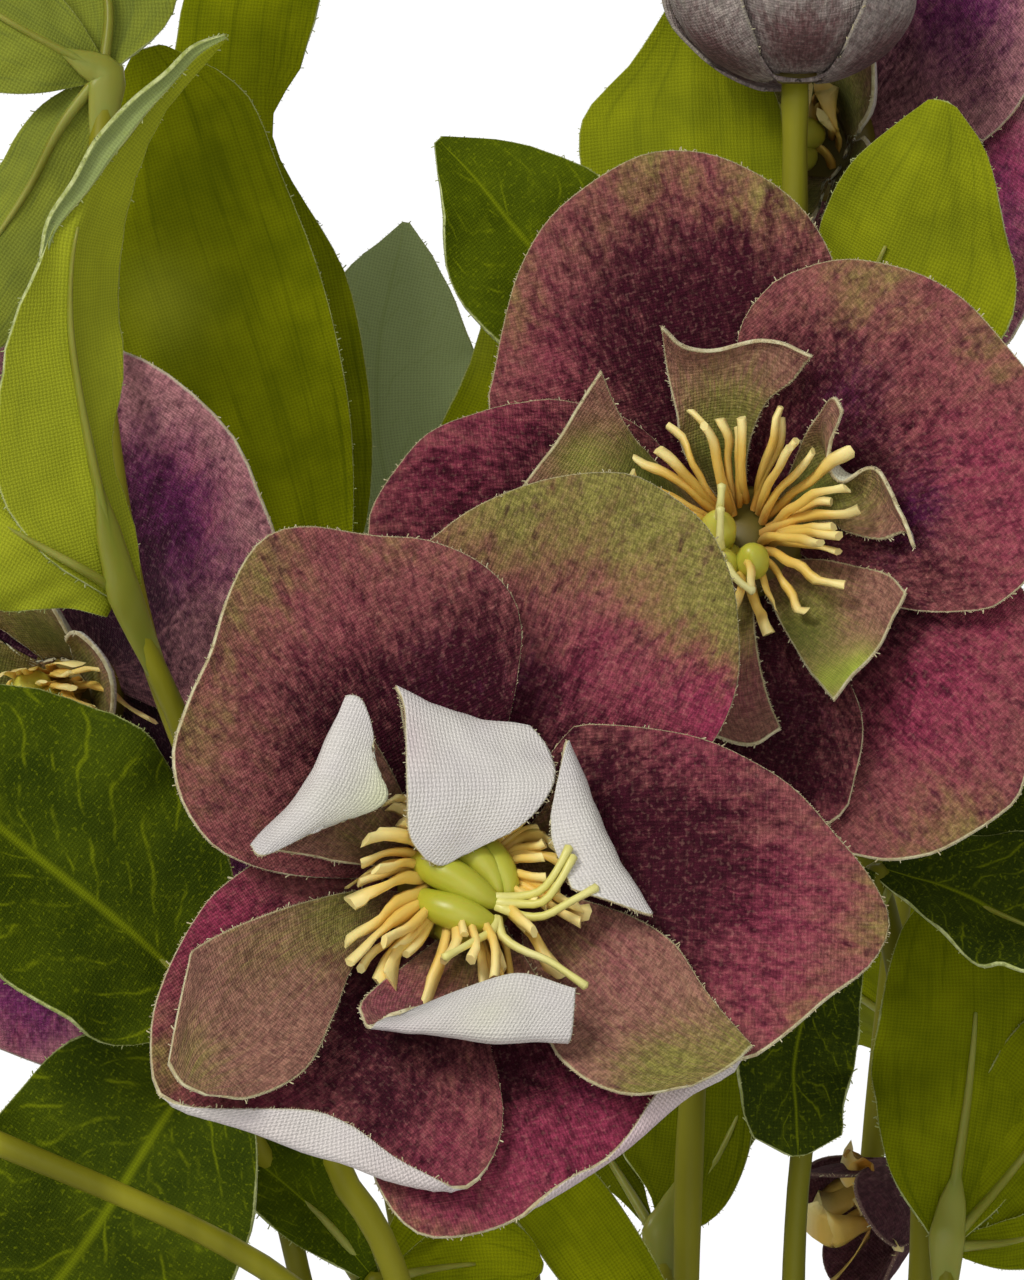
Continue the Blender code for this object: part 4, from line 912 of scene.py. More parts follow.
def make_print_group():
    """Petal print: brushed inks, softly mottled along the petal, with a darker net and a fine grain."""
    inputs = {"Fan": (VECTOR, None), "Cloth": (VECTOR, None), "Washes": (COLOUR, None)}
    inputs["Violet wash"] = (FLOAT, 0)
    inputs.update({label: (COLOUR, None) for label in PRINT_INKS})
    inputs["Blot depth"] = (FLOAT, 1)
    tree, given, result = node_group("Petal print", inputs, {"Color": COLOUR})
    washes = colour_parts(tree, given["Washes"])
    blots = three_clouds(tree, stretched(tree, given["Fan"], (15, 5.5, 1)), 1, 3, 0.6, 0.6)
    mottle = three_clouds(tree, stretched(tree, given["Fan"], (44, 19, 1)), 1, 3, 0.62, 0.5)
    grain = three_clouds(tree, given["Cloth"], 2100, 1, 0.5)
    patches = three_clouds(tree, given["Cloth"], 900, 3, 0.6, 0.4)

    def inked(colour, wash, number, label, low, high, mottled, most=1):
        depth = times(tree, given["Blot depth"], mottled)
        pushed = times_plus(tree, blots[number], 0.45, wash)
        pushed = times_plus(tree, mottle[number], depth, pushed)
        pushed = times_plus(tree, patches[number], times(tree, depth, 0.5), pushed)
        return blend(tree, spread(tree, pushed, low, high, 0, most), colour, given[label])

    colour = inked(given["Ground"], washes[1], 0, "Olive", 0, 0.95, 0.25)
    colour = inked(colour, washes[2], 1, "Crimson", 0, 0.95, 0.4)
    colour = inked(colour, given["Violet wash"], 2, "Violet", 0, 0.95, 0.6)
    veins = spread(tree, maths(tree, "ABSOLUTE", blots[0]), 0, 0.08, 1, 0)
    veins = times(tree, veins, spread(tree, patches[1], -0.15, 0.25))
    veins = times(tree, veins, times_plus(tree, washes[1], -0.3, 0.45))
    colour = blend(tree, veins, colour, given["Plum"])
    streaks = minus(tree, 0.38, times(tree, washes[1], 0.25))
    colour = inked(colour, streaks, 2, "Plum", 0.3, 0.9, 1.1, 0.5)
    colour = inked(colour, washes[0], 1, "Plum", 0, 0.95, 0.8)
    colour = inked(colour, minus(tree, washes[0], 0.55), 0, "Plum", 0, 0.5, 0.5, 0.7)
    lint = times(tree, spread(tree, grain[0], 0.08, 0.4), 0.11)
    colour = blend(tree, lint, colour, given["Speck"])
    colour = scaled(tree, colour, spread(tree, grain[1], -0.3, 0.3, 0.76, 1.2))
    tree.links.new(colour, result["Color"])
    return tree


def make_hem_group():
    """Cut edge: a ragged pale line where the weave shows through the ink."""
    inputs = {"Hem": (FLOAT, 0), "Cloth": (VECTOR, None), "Width": (FLOAT, 0.5)}
    tree, given, result = node_group("Cut edge", inputs, {"Mask": FLOAT})
    ragged = clouds(tree, given["Cloth"], 2600, 2, 0.7)
    edge = plus(tree, given["Hem"], times_plus(tree, ragged, 0.9, -0.45))
    start = minus(tree, 1, given["Width"])
    mask = maths(tree, "DIVIDE", minus(tree, edge, start), 0.45, clamp=True)
    mask = times(tree, mask, spread(tree, given["Hem"], 0.02, 0.2))
    tree.links.new(mask, result["Mask"])
    return tree


def make_grain_group():
    """Moulded grain: fine unevenness and flow marks on plastic."""
    inputs = {"Position": (VECTOR, None), "Scale": (FLOAT, 900)}
    tree, given, result = node_group("Moulded grain", inputs, {"Height": FLOAT, "Tone": FLOAT})
    fine = clouds(tree, given["Position"], given["Scale"], 3, 0.6)
    broad = clouds(tree, given["Position"], times(tree, given["Scale"], 0.16), 2, 0.5)
    tree.links.new(fine, result["Height"])
    tree.links.new(broad, result["Tone"])
    return tree


weave_group = make_weave_group()
print_group = make_print_group()
hem_group = make_hem_group()
grain_group = make_grain_group()


# Materials


def new_material(name, roughness, **fixed):
    """A material with its shader's plain values set, and its tree and shader."""
    made = bpy.data.materials.new(name)
    made.use_nodes = True
    shader = made.node_tree.nodes["Principled BSDF"]
    shader.inputs["Roughness"].default_value = roughness
    for label, value in fixed.items():
        shader.inputs[label.replace("_", " ")].default_value = value
    return made, made.node_tree, shader


def finish_colour(tree, shader, colour, height, strength, distance, roughness=None):
    """Links a colour, a bump and perhaps a roughness to the shader."""
    tree.links.new(colour, shader.inputs["Base Color"])
    bump = add_node(tree, "ShaderNodeBump", {"Height": height, "Strength": strength, "Distance": distance})
    tree.links.new(bump[0], shader.inputs["Normal"])
    if roughness is not None:
        tree.links.new(roughness, shader.inputs["Roughness"])


def ink_and_light_washes(tree, name="washes"):
    """How much of each of an attribute's three washes lies at a point: ink, and on leaves in places painted
    light.
    """
    return colour_parts(tree, attribute(tree, name)["Color"])


def coated_by(tree, colour, *coats):
    """A colour with coats over it, each as how much lies there and its colour: ink, and in places painted
    light.
    """
    for cover, shade in coats:
        colour = blend(tree, cover, colour, ink(*shade))
    return colour


def thread_shaded(tree, colour, weave, heights, shades, tone=None):
    """A colour with painted shade between the threads, and their own tone where its factor and base are
    given.
    """
    thread = spread(tree, weave["Height"], *heights, *shades)
    if tone:
        thread = times(tree, thread, times_plus(tree, weave["Thread tone"], *tone))
    return scaled(tree, colour, thread)


def hemmed(tree, colour, cloth, width, cover, shade):
    """A colour with the pale line of a cut edge over it."""
    values = {"Hem": attribute(tree, "hem")["Fac"], "Cloth": cloth, "Width": width}
    hem = use_group(tree, hem_group, values)
    return coated_by(tree, colour, (times(tree, hem["Mask"], cover), shade))


def petal_print(name, blot_depth, edge, *inks):
    """The printed face of a petal, with the colours of its cut edge and of its inks."""
    looks = dict(Sheen_Weight=0.03, Sheen_Roughness=0.5, Specular_IOR_Level=0.08)
    made, tree, shader = new_material(name, 0.82, **looks)
    cloth, washes = uv(tree, "cloth"), attribute(tree, "washes")
    values = {"Fan": uv(tree, "fan"), "Cloth": cloth, "Blot depth": blot_depth}
    values.update({"Washes": washes["Color"], "Violet wash": washes["Alpha"]})
    values.update({label: ink(*shade) for label, shade in zip(PRINT_INKS, inks)})
    colour = use_group(tree, print_group, values)["Color"]
    extra = ink_and_light_washes(tree, "extra_washes")
    colour = coated_by(tree, colour, (extra[0], (92, 104, 40)), (extra[1], (170, 184, 70)))
    weave = use_group(tree, weave_group, {"Cloth": cloth, "Pitch": PRINT_PITCH})
    # Painted shade between the threads of the weave.
    colour = thread_shaded(tree, colour, weave, (0.25, 0.75), (0.84, 1.05), (1.1, 0.45))
    colour = hemmed(tree, colour, cloth, 0.62, 0.75, edge)
    finish_colour(tree, shader, colour, weave["Height"], 0.9, 0.0001)
    return made


def petal_linen(name, shade, bleed):
    """The unprinted back of a petal, where a little ink has come through."""
    looks = dict(Sheen_Weight=0.12, Sheen_Roughness=0.5, Specular_IOR_Level=0.25)
    made, tree, shader = new_material(name, 0.85, **looks)
    cloth = uv(tree, "cloth")
    weave = use_group(tree, weave_group, {"Cloth": cloth, "Pitch": LINEN_PITCH, "Unevenness": 0.22})
    washes, patches = ink_and_light_washes(tree), clouds(tree, cloth, 150, 3)
    colour = blend(tree, times(tree, washes[1], bleed), ink(*shade), ink(214, 226, 120))
    crimson, grey = times(tree, washes[2], bleed * 0.8), spread(tree, patches, 0.35, 0.75, 0, 0.22)
    colour = coated_by(tree, colour, (crimson, (196, 120, 150)), (grey, (206, 192, 206)))
    colour = hemmed(tree, colour, cloth, 0.7, 0.35, (205, 205, 170))
    # Painted shade between the threads of the weave.
    colour = thread_shaded(tree, colour, weave, (0.25, 0.7), (0.8, 1), (0.25, 0.86))
    finish_colour(tree, shader, colour, weave["Height"], 0.9, 0.00014)
    return made


def cut_threads(name, shade, other):
    """The ends of the threads along a cut edge."""
    made, tree, shader = new_material(name, 0.9, Sheen_Weight=0.15, Specular_IOR_Level=0.2)
    mixed = clouds(tree, own_place(tree), 900, 3, 0.7)
    colour = blend(tree, spread(tree, mixed, 0.35, 0.65), ink(*shade), ink(*other))
    finish_colour(tree, shader, colour, mixed, 0.4, 0.00005)
    return made


def leaf_print(name):
    """The dark printed side of a leaf, with pale veins and specks."""
    made, tree, shader = new_material(name, 0.72, Specular_IOR_Level=0.05)
    cloth, fan = uv(tree, "cloth"), uv(tree, "fan")
    split = add_node(tree, "ShaderNodeSeparateXYZ", {0: fan})
    side = maths(tree, "ABSOLUTE", split[0])
    slant = times_plus(tree, side, -3.2, times(tree, split[1], 11))
    bend = clouds(tree, stretched(tree, fan, (2, 3, 1)), 1, 2)
    slant = times_plus(tree, bend, 2.6, slant)
    wave = maths(tree, "ABSOLUTE", minus(tree, maths(tree, "FRACT", slant), 0.5))
    breaks = clouds(tree, cloth, 260, 3, 0.6)
    veins = minus(tree, 1, spread(tree, wave, 0, 0.11))
    veins = times(tree, veins, spread(tree, breaks, 0.42, 0.62))
    wander = scaled(tree, noise_texture(tree, cloth, 300, 3)["Color"], 0.0022)
    values = {"Vector": shifted(tree, cloth, wander), "Scale": 300}
    cells = add_node(tree, "ShaderNodeTexVoronoi", values, feature="DISTANCE_TO_EDGE")["Distance"]
    net = minus(tree, 1, spread(tree, cells, 0.01, 0.09))
    net = times(tree, net, spread(tree, breaks, 0.46, 0.66))
    midrib = minus(tree, 1, spread(tree, side, 0, 0.06))
    specks = spread(tree, clouds(tree, cloth, 2200, 2, 0.6), 0.54, 0.72)
    marks = times(tree, veins, 0.42)
    for mark, strength in ((specks, 0.32), (net, 0.12), (midrib, 0.45)):
        marks = maths(tree, "MAXIMUM", marks, times(tree, mark, strength))
    washes, patches = ink_and_light_washes(tree), clouds(tree, cloth, 120, 3, 0.55)
    colour = blend(tree, spread(tree, patches, 0.3, 0.7), ink(52, 66, 1), ink(78, 92, 4))
    # The blue wash is pale blue-green made bright: partly painted light, so the shaded centre back leaf looks
    # lit.
    colour = coated_by(
        tree, colour, (washes[1], (116, 128, 10)), (washes[2], (168, 182, 124)),
        (times(tree, washes[0], 0.8), (30, 40, 12)),
    )
    light = blend(tree, washes[2], ink(146, 158, 14), ink(146, 160, 96))
    colour = blend(tree, marks, colour, light)
    weave = use_group(tree, weave_group, {"Cloth": cloth, "Pitch": PRINT_PITCH})
    # Painted shade between the threads of the weave.
    colour = thread_shaded(tree, colour, weave, (0.25, 0.75), (0.84, 1.05))
    colour = hemmed(tree, colour, cloth, 0.5, 0.85, (166, 172, 104))
    finish_colour(tree, shader, colour, weave["Height"], 0.7, 0.00009)
    return made


def leaf_underside(name):
    """The lime back of a leaf, with soft streaks."""
    made, tree, shader = new_material(name, 0.75, Specular_IOR_Level=0.05)
    cloth, washes = uv(tree, "cloth"), ink_and_light_washes(tree)
    streaks = clouds(tree, stretched(tree, uv(tree, "fan"), (7, 1.8, 1)), 1, 4, 0.6, 0.4)
    patches = clouds(tree, cloth, 110, 3, 0.55)
    colour = blend(tree, spread(tree, patches, 0.3, 0.72), ink(112, 120, 1), ink(142, 148, 6))
    # The light wash is a paler lime; laid as a narrow streak on the leaf at the back left, it is a painted
    # highlight.
    colour = coated_by(
        tree, colour, (spread(tree, streaks, 0.48, 0.72, 0, 0.6), (84, 94, 0)),
        (times(tree, washes[0], 0.8), (56, 64, 0)), (washes[1], (164, 170, 48)), (washes[2], (128, 140, 96)),
    )
    weave = use_group(tree, weave_group, {"Cloth": cloth, "Pitch": LEAF_BACK_PITCH})
    # Painted shade between the threads of the weave.
    colour = thread_shaded(tree, colour, weave, (0.2, 0.8), (0.8, 1.08))
    colour = hemmed(tree, colour, cloth, 0.5, 0.8, (188, 192, 122))
    finish_colour(tree, shader, colour, weave["Height"], 0.7, 0.00009)
    return made


def moulded(name, shade, other, roughness, streak=(1, 1, 0.25), scale=900, bump=0.25, **fixed):
    """Moulded plastic with flow marks."""
    made, tree, shader = new_material(name, roughness, **fixed)
    values = {"Position": stretched(tree, own_place(tree), streak), "Scale": scale}
    grain = use_group(tree, grain_group, values)
    colour = blend(tree, spread(tree, grain["Tone"], 0.35, 0.65), ink(*shade), ink(*other))
    rough = times_plus(tree, grain["Height"], 0.3, roughness - 0.15)
    finish_colour(tree, shader, colour, grain["Height"], bump, 0.00015, rough)
    return made


def stamen_plastic(name):
    """Ochre stamens, browner at the foot and paler at the head."""
    made, tree, shader = new_material(name, 0.48, Subsurface_Weight=0.12, Subsurface_Scale=0.002)
    head = attribute(tree, "head")["Fac"]
    grain = use_group(tree, grain_group, {"Position": own_place(tree), "Scale": 1400})
    colour = blend(tree, spread(tree, head, 0, 0.45), ink(172, 116, 22), ink(236, 196, 92))
    colour = coated_by(
        tree, colour, (spread(tree, head, 0.7, 1), (250, 228, 150)),
        (spread(tree, grain["Tone"], 0.4, 0.7, 0, 0.3), (246, 218, 136)),
    )
    finish_colour(tree, shader, colour, grain["Height"], 0.3, 0.0002)
    return made


petal_cloth = petal_print(
    "Printed petal cloth", 1, (200, 190, 146),
    (142, 80, 80), (138, 130, 66), (146, 54, 80), (84, 26, 66), (60, 16, 30), (206, 160, 140),
)
inner_cloth = petal_print(
    "Printed inner petal cloth", 0.8, (200, 194, 146),
    (150, 106, 90), (132, 126, 62), (146, 74, 88), (112, 50, 84), (88, 44, 44), (206, 180, 144),
)
small_cloth = petal_print(
    "Printed small petal cloth", 0.7, (196, 184, 164),
    (176, 120, 124), (160, 156, 128), (160, 66, 100), (112, 42, 92), (54, 18, 38), (206, 164, 160),
)
pale_bud_cloth = petal_print(
    "Printed pale bud cloth", 0.5, (150, 142, 130),
    (160, 148, 142), (150, 156, 124), (134, 98, 108), (116, 84, 104), (100, 70, 70), (186, 184, 170),
)
dull_bud_cloth = petal_print(
    "Printed dull bud cloth", 0.6, (130, 104, 96),
    (128, 92, 92), (126, 104, 84), (112, 58, 70), (92, 54, 80), (78, 44, 52), (150, 122, 114),
)
linen = petal_linen("Petal back linen", (228, 223, 216), 0.55)
petal_threads = cut_threads("Petal cut threads", (214, 206, 168), (186, 170, 128))
leaf_threads = cut_threads("Leaf cut threads", (196, 202, 140), (150, 160, 80))
leaf_cloth = leaf_print("Printed leaf cloth")
leaf_back = leaf_underside("Leaf back cloth")
stem_plastic = moulded(
    "Stem plastic", (104, 102, 8), (138, 134, 26), 0.5, (1, 1, 0.12), bump=0.35, Specular_IOR_Level=0.2
)
rib_plastic = moulded(
    "Clear rib plastic", (124, 126, 34), (146, 148, 62), 0.38, Specular_IOR_Level=0.3,
    Subsurface_Weight=0.2, Subsurface_Scale=0.002,
)
carpel_plastic = moulded(
    "Carpel plastic", (176, 176, 48), (202, 196, 78), 0.36, scale=500, Subsurface_Weight=0.15,
    Subsurface_Scale=0.002,
)
style_plastic = moulded("Style plastic", (218, 210, 110), (236, 228, 160), 0.4, scale=700)
heart_plastic = moulded("Bloom heart plastic", (96, 84, 14), (128, 108, 26), 0.6, scale=500)
stamen_finish = stamen_plastic("Stamen plastic")
EVEN = (1, 1, 1)
pot_plastic = moulded(
    "Pot plastic", (34, 34, 33), (44, 43, 41), 0.62, EVEN, scale=1600, bump=0.5, Specular_IOR_Level=0.35
)
fill_grit = moulded("Fill grit", (70, 62, 52), (98, 88, 76), 0.9, EVEN, scale=700, bump=0.8)
grit_grains = moulded("Grit grains", (84, 76, 66), (132, 122, 106), 0.85, EVEN, scale=260, bump=0.5)


# Pieces


def add_object(name, data):
    """An object in the scene."""
    made = bpy.data.objects.new(name, data)
    bpy.context.scene.collection.objects.link(made)
    return made


def put(name, mesh, nodes=()):
    """Adds a finished mesh to the plant."""
    piece = add_object(name, mesh)
    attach(piece, "root")
    if nodes:
        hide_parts(*nodes)
    return piece


def evaluated_mesh(holder):
    """The mesh that an object's modifiers make, as plain data, without the object."""
    bpy.context.view_layer.update()
    graph = bpy.context.evaluated_depsgraph_get()
    shown = holder.evaluated_get(graph)
    made = bpy.data.meshes.new_from_object(shown, preserve_all_data_layers=True, depsgraph=graph)
    bpy.data.objects.remove(holder)
    return made


def grown(tree, values, mesh=None):
    """The plain mesh that a geometry tree grows."""
    holder = add_object("Holder", mesh or bpy.data.meshes.new("Holder"))
    modifier = holder.modifiers.new("Grow", "NODES")
    modifier.node_group = tree
    for label, value in values.items():
        modifier[tree.interface.items_tree[label].identifier] = value
    return evaluated_mesh(holder)


def grid_mesh(name, grid, finishes):
    """A mesh of quads through a grid of points."""
    columns, rows = grid.shape[:2]
    corner = np.arange(columns * rows).reshape(columns, rows)
    quads = np.stack([corner[:-1, :-1], corner[1:, :-1], corner[1:, 1:], corner[:-1, 1:]], axis=-1)
    mesh = bpy.data.meshes.new(name)
    mesh.from_pydata(grid.reshape(-1, 3).tolist(), [], quads.reshape(-1, 4).tolist())
    for finish in finishes:
        mesh.materials.append(finish)
    mesh.shade_smooth()
    return mesh


def write_uv(mesh, name, values):
    """Writes one value for each point as a UV map."""
    corners = np.zeros(len(mesh.loops), int)
    mesh.loops.foreach_get("vertex_index", corners)
    layer = mesh.uv_layers.new(name=name)
    layer.uv.foreach_set("vector", values.reshape(-1, 2)[corners].astype(np.float32).ravel())


def write_values(mesh, name, kind, field, values):
    """Writes one value, vector or colour for each point."""
    layer = mesh.attributes.new(name, kind, "POINT")
    layer.data.foreach_set(field, values.astype(np.float32).ravel())


# The place of each wash in the two colours that a point of cloth carries: ink, and on leaves in places
# painted light
WASH_CHANNELS = {
    "plum": (0, 0), "olive": (0, 1), "crimson": (0, 2), "violet": (0, 3), "green": (1, 0), "lime": (1, 1),
    "dark": (0, 0), "light": (0, 1), "blue": (0, 2),
}


def brushed(flat_mm, washes):
    """How much of each wash lies at each point of the flat pattern: ink, and on leaves in places painted
    light.
    """
    layers = np.zeros((2, *flat_mm.shape[:2], 4))
    for shade, across, along, size, strength in washes:
        away = np.linalg.norm(flat_mm - np.array([across, along]), axis=-1)
        which, channel = WASH_CHANNELS[shade]
        cover = strength * np.exp(-((away / size) ** 2))
        layers[which, ..., channel] = 1 - (1 - layers[which, ..., channel]) * (1 - np.clip(cover, 0, 1))
    return layers


def cloth_piece(name, grid, pattern, washes, finishes, thickness):
    """A cut piece of cloth with its thickness, as a mesh in the plant's place."""
    flat_mm, fan, hem = pattern
    mesh = grid_mesh(name, grid, finishes)
    write_uv(mesh, "cloth", flat_mm * MM)
    write_uv(mesh, "fan", fan)
    for label, layer in zip(("washes", "extra_washes"), brushed(flat_mm, washes)):
        write_values(mesh, label, "FLOAT_COLOR", "color", layer)
    write_values(mesh, "hem", "FLOAT", "value", hem)
    holder = add_object(name + "_flat", mesh)
    solidify = holder.modifiers.new("Cloth thickness", "SOLIDIFY")
    solidify.thickness = thickness
    solidify.offset = 0
    solidify.material_offset = 1
    solidify.material_offset_rim = 2
    made = evaluated_mesh(holder)
    made.name = name
    return made


def joined(name, meshes):
    """Several meshes as one."""
    if len(meshes) == 1:
        return meshes[0]
    holders = [add_object(name, mesh) for mesh in meshes]
    with bpy.context.temp_override(active_object=holders[0], selected_editable_objects=holders):
        bpy.ops.object.join()
    made = holders[0].data
    bpy.data.objects.remove(holders[0])
    made.name = name
    return made


def rod(name, path, radii, finish, sides=14, flatten=1.0, flat_way=(0.31, 0.17, 0.93)):
    """A moulded bar along a path, with a radius for each point and closed, rounded ends."""
    path, radii = np.asarray(path, float), np.asarray(radii, float)
    tangents = unit(np.gradient(path, axis=0))
    side = unit(np.cross(tangents[0], flat_way))
    angles = np.linspace(0, 2 * math.pi, sides, endpoint=False)
    verts = []
    for point, tangent, radius in zip(path, tangents, radii):
        side = unit(side - tangent * side.dot(tangent))
        ring = np.cos(angles)[:, None] * side + np.sin(angles)[:, None] * np.cross(tangent, side) * flatten
        verts.append(point + ring * radius)
    verts.append([path[0] - tangents[0] * radii[0] / 2, path[-1] + tangents[-1] * radii[-1] / 2])
    verts = np.concatenate(verts)
    pairs = [(k, (k + 1) % sides) for k in range(sides)]
    count = len(path) * sides
    last = count - sides
    faces = []
    for low in range(0, last, sides):
        faces += [(low + k, low + n, low + sides + n, low + sides + k) for k, n in pairs]
    for k, n in pairs:
        faces += [(count, n, k), (count + 1, last + k, last + n)]
    mesh = bpy.data.meshes.new(name)
    mesh.from_pydata(verts.tolist(), [], faces)
    mesh.materials.append(finish)
    mesh.shade_smooth()
    around = np.zeros((len(verts), 2))
    around[:count, 0] = np.tile(angles, len(path)) * np.repeat(radii, sides)
    around[:count, 1] = np.repeat(lengths_along(path), sides)
    write_uv(mesh, "cloth", around)
    return mesh


# Petals


def bowl_point(cup, azimuth, layer, across, along):
    """Points of a bowl-shaped petal in the bloom's axes in mm, with lengths kept as on flat cloth."""
    start, finish = math.radians(cup["base_slope"]), math.radians(cup["rim_slope"])
    out = np.hypot(along + CLAW_MM, across)
    bend = (finish - start) / cup["reach_mm"]
    slope = start + bend * (out - CLAW_MM)
    radius = CLAW_MM + (np.sin(slope) - math.sin(start)) / bend
    height = (math.cos(start) - np.cos(slope)) / bend
    drop = layer * LAYER_MM
    away = cup["spread"] * drop * 0.4 * ease(0, 8, along)
    angle = math.radians(azimuth) + np.arctan2(across, along + CLAW_MM) * out / radius
    radius = radius + away * np.sin(slope)
    height = height - drop * (1 - 0.5 * cup["spread"]) + cup.get("rise", 0)
    return np.stack([radius * np.sin(angle), radius * np.cos(angle), height], axis=-1)


def turned_margin(spec, bearing):
    """The cloth that turns over at each bearing of a sepal's rim in mm, and its radius and angle of turn."""
    turned, radius, swing = np.zeros_like(bearing), np.ones_like(bearing), np.zeros_like(bearing)
    for profile, bend_radius, degrees in spec.get("rolls", []):
        amount = np.interp(bearing, [place for place, _ in profile], [mm for _, mm in profile], 0, 0)
        radius = np.where(amount > 0, bend_radius, radius)
        swing = np.where(amount > 0, math.radians(degrees), swing)
        turned = np.where(amount > 0, amount, turned)
    return turned, radius, swing


def cut_edges(grid, sides):
    """A hem of 1 along a piece's cut end, and along its sides where they are cut too."""
    hem = np.zeros(grid.shape[:2])
    hem[:, -1] = 1
    if sides:
        hem[[0, -1]] = 1
    return hem


def fan_lines(across, share, seed=0):
    """The lines that spread from a petal's claw, moved sideways so that every petal's print differs."""
    return np.stack(np.broadcast_arrays(across + seed * 3.0, share), axis=-1)


def sepal_shape(cup, spec, columns, rows, seed):
    """A sepal's points in mm in its bloom's axes, and its pattern: flat places, fan lines and hem."""
    angles = np.radians([degrees for degrees, _ in spec["rim"]])
    reaches = np.array([reach for _, reach in spec["rim"]], float)
    outline = evenly(np.stack([reaches * np.sin(angles), reaches * np.cos(angles)], axis=-1), columns)
    turned, radius, swing = turned_margin(spec, np.degrees(np.arctan2(outline[:, 0], outline[:, 1])))
    size = np.abs(swing)
    hidden = turned - radius * np.sin(np.minimum(np.minimum(turned / radius, size), math.pi / 2))
    hidden -= np.maximum(turned - radius * size, 0) * np.maximum(np.cos(size), 0)
    outline = outline * (1 + hidden / np.linalg.norm(outline, axis=1))[:, None]
    u = np.linspace(-1, 1, columns)
    base = np.stack([u * BASE_HALF_MM, np.zeros(columns)], axis=-1)
    length = np.linalg.norm(outline - base, axis=1)
    margin_share = (1 - turned / length)[:, None]
    body = np.minimum(margin_share, 1 - RIM_BAND_MM / length[:, None])
    rim_rows = rows // 3
    inner = body * np.linspace(0, 1, rows - rim_rows, endpoint=False)
    shares = np.concatenate([inner, body + (1 - body) * np.linspace(0, 1, rim_rows)], axis=1)
    flat = base[:, None] + (outline - base)[:, None] * shares[..., None]

    def surface(points):
        return bowl_point(cup, spec["azimuth"], spec["layer"], points[..., 0], points[..., 1])

    def facing(points):
        sideways, onwards = np.array([0.05, 0]), np.array([0, 0.05])
        across = surface(points + sideways) - surface(points - sideways)
        along = surface(points + onwards) - surface(points - onwards)
        return unit(np.cross(across, along))

    relief = crumple(flat, (9.0, 0.6, seed), (3.2, 0.16, seed + 4), (1.4, 0.05, seed + 8))
    for degrees, height, width in spec.get("creases", []):
        way = math.radians(degrees)
        off_line = flat[..., 0] * math.cos(way) - flat[..., 1] * math.sin(way)
        relief += height * np.exp(-((off_line / width) ** 2)) * ease(4, 24, flat[..., 1])
    relief *= ease(2, 14, np.linalg.norm(flat, axis=-1))
    grid = surface(flat) + facing(flat) * relief[..., None]
    margin = base + (outline - base) * margin_share
    inside = base + (outline - base) * (margin_share - 0.3 / length[:, None])
    front = facing(margin)
    held = np.array([np.interp(margin_share[i, 0], shares[i], relief[i]) for i in range(columns)])
    origin, ahead = surface(margin) + front * held[:, None], unit(surface(margin) - surface(inside))
    beyond = np.maximum(turned[:, None] - (1 - shares) * length[:, None], 0)
    radius, swing = radius[:, None], swing[:, None]
    angle = np.minimum(beyond / radius, np.abs(swing))
    straight = np.maximum(beyond - radius * np.abs(swing), 0)
    forward = radius * np.sin(angle) + straight * np.cos(angle)
    upward = np.sign(swing) * (radius * (1 - np.cos(angle)) + straight * np.sin(angle))
    rolled = origin[:, None] + ahead[:, None] * forward[..., None] + front[:, None] * upward[..., None]
    rolled = rolled + front[:, None] * (relief - held[:, None])[..., None] * 0.5
    grid = np.where((beyond > 1e-6)[..., None], rolled, grid)
    return grid, (flat, fan_lines(u[:, None], shares, seed), cut_edges(grid, False))


def blade_places(count, half_mm):
    """Places across a blade from -1 to 1, with a narrow hem at each side."""
    edge = HEM_MM / half_mm
    return np.concatenate([[-1], np.linspace(-1 + edge, 1 - edge, count - 2), [1]])


def blade_shape(stations, columns, rows, seed):
    """An inner petal's points in mm in its bloom's axes, and its pattern."""
    stations = np.asarray(stations, float)
    points = stations.shape[1]
    lines = through(stations, even_places(stations[:, points // 2], rows, HEM_MM))
    widest = stations[len(stations) // 2]
    across = blade_places(columns, np.linalg.norm(widest[0] - widest[-1]) / 2)
    grid = through(np.swapaxes(lines, 0, 1), (across + 1) / 2 * (points - 1))
    middle = columns // 2
    steps = np.linalg.norm(np.diff(grid, axis=0), axis=-1)
    sideways = np.concatenate([np.zeros((1, rows)), np.cumsum(steps, axis=0)])
    forwards = lengths_along(grid[middle])
    flat = np.stack(np.broadcast_arrays(sideways - sideways[middle], forwards), axis=-1)
    facing = grid_normals(grid)
    if facing[middle, 3, 2] < 0:
        grid, flat = grid[::-1], flat[::-1] * np.array([-1, 1])
        facing = grid_normals(grid)
    relief = crumple(flat, (4.5, 0.35, seed), (1.8, 0.08, seed + 3))
    grid = grid + facing * relief[..., None] * ease(1, 8, flat[..., 1])[..., None]
    fan = fan_lines(across[:, None], flat[..., 1] / forwards[-1], seed)
    return grid, (flat, fan, cut_edges(grid, True))


def edge_lines(grid, sides):
    """The cut edges of a piece as lines of points with the way outwards."""
    lines = [(grid[:, -1], unit(grid[:, -1] - grid[:, -2]))]
    if sides:
        lines += [(grid[0], unit(grid[0] - grid[1])), (grid[-1], unit(grid[-1] - grid[-2]))]
    return lines


def growing_group(name, inputs):
    """An empty geometry group with named inputs."""
    return node_group(name, inputs, {"Geometry": GEOMETRY}, "GeometryNodeTree")


def grow(tree, kind, settings=None, **inputs):
    """The first output of a geometry node, with its inputs given by their names."""
    inputs = {label.replace("_", " "): value for label, value in inputs.items()}
    return add_node(tree, "GeometryNode" + kind, inputs, **(settings or {}))[0]


def finished(tree, geometry, finish, result):
    """Ends a geometry group with its finish."""
    made = grow(tree, "SetMaterial", Geometry=geometry, Material=finish)
    tree.links.new(made, result["Geometry"])
    return tree


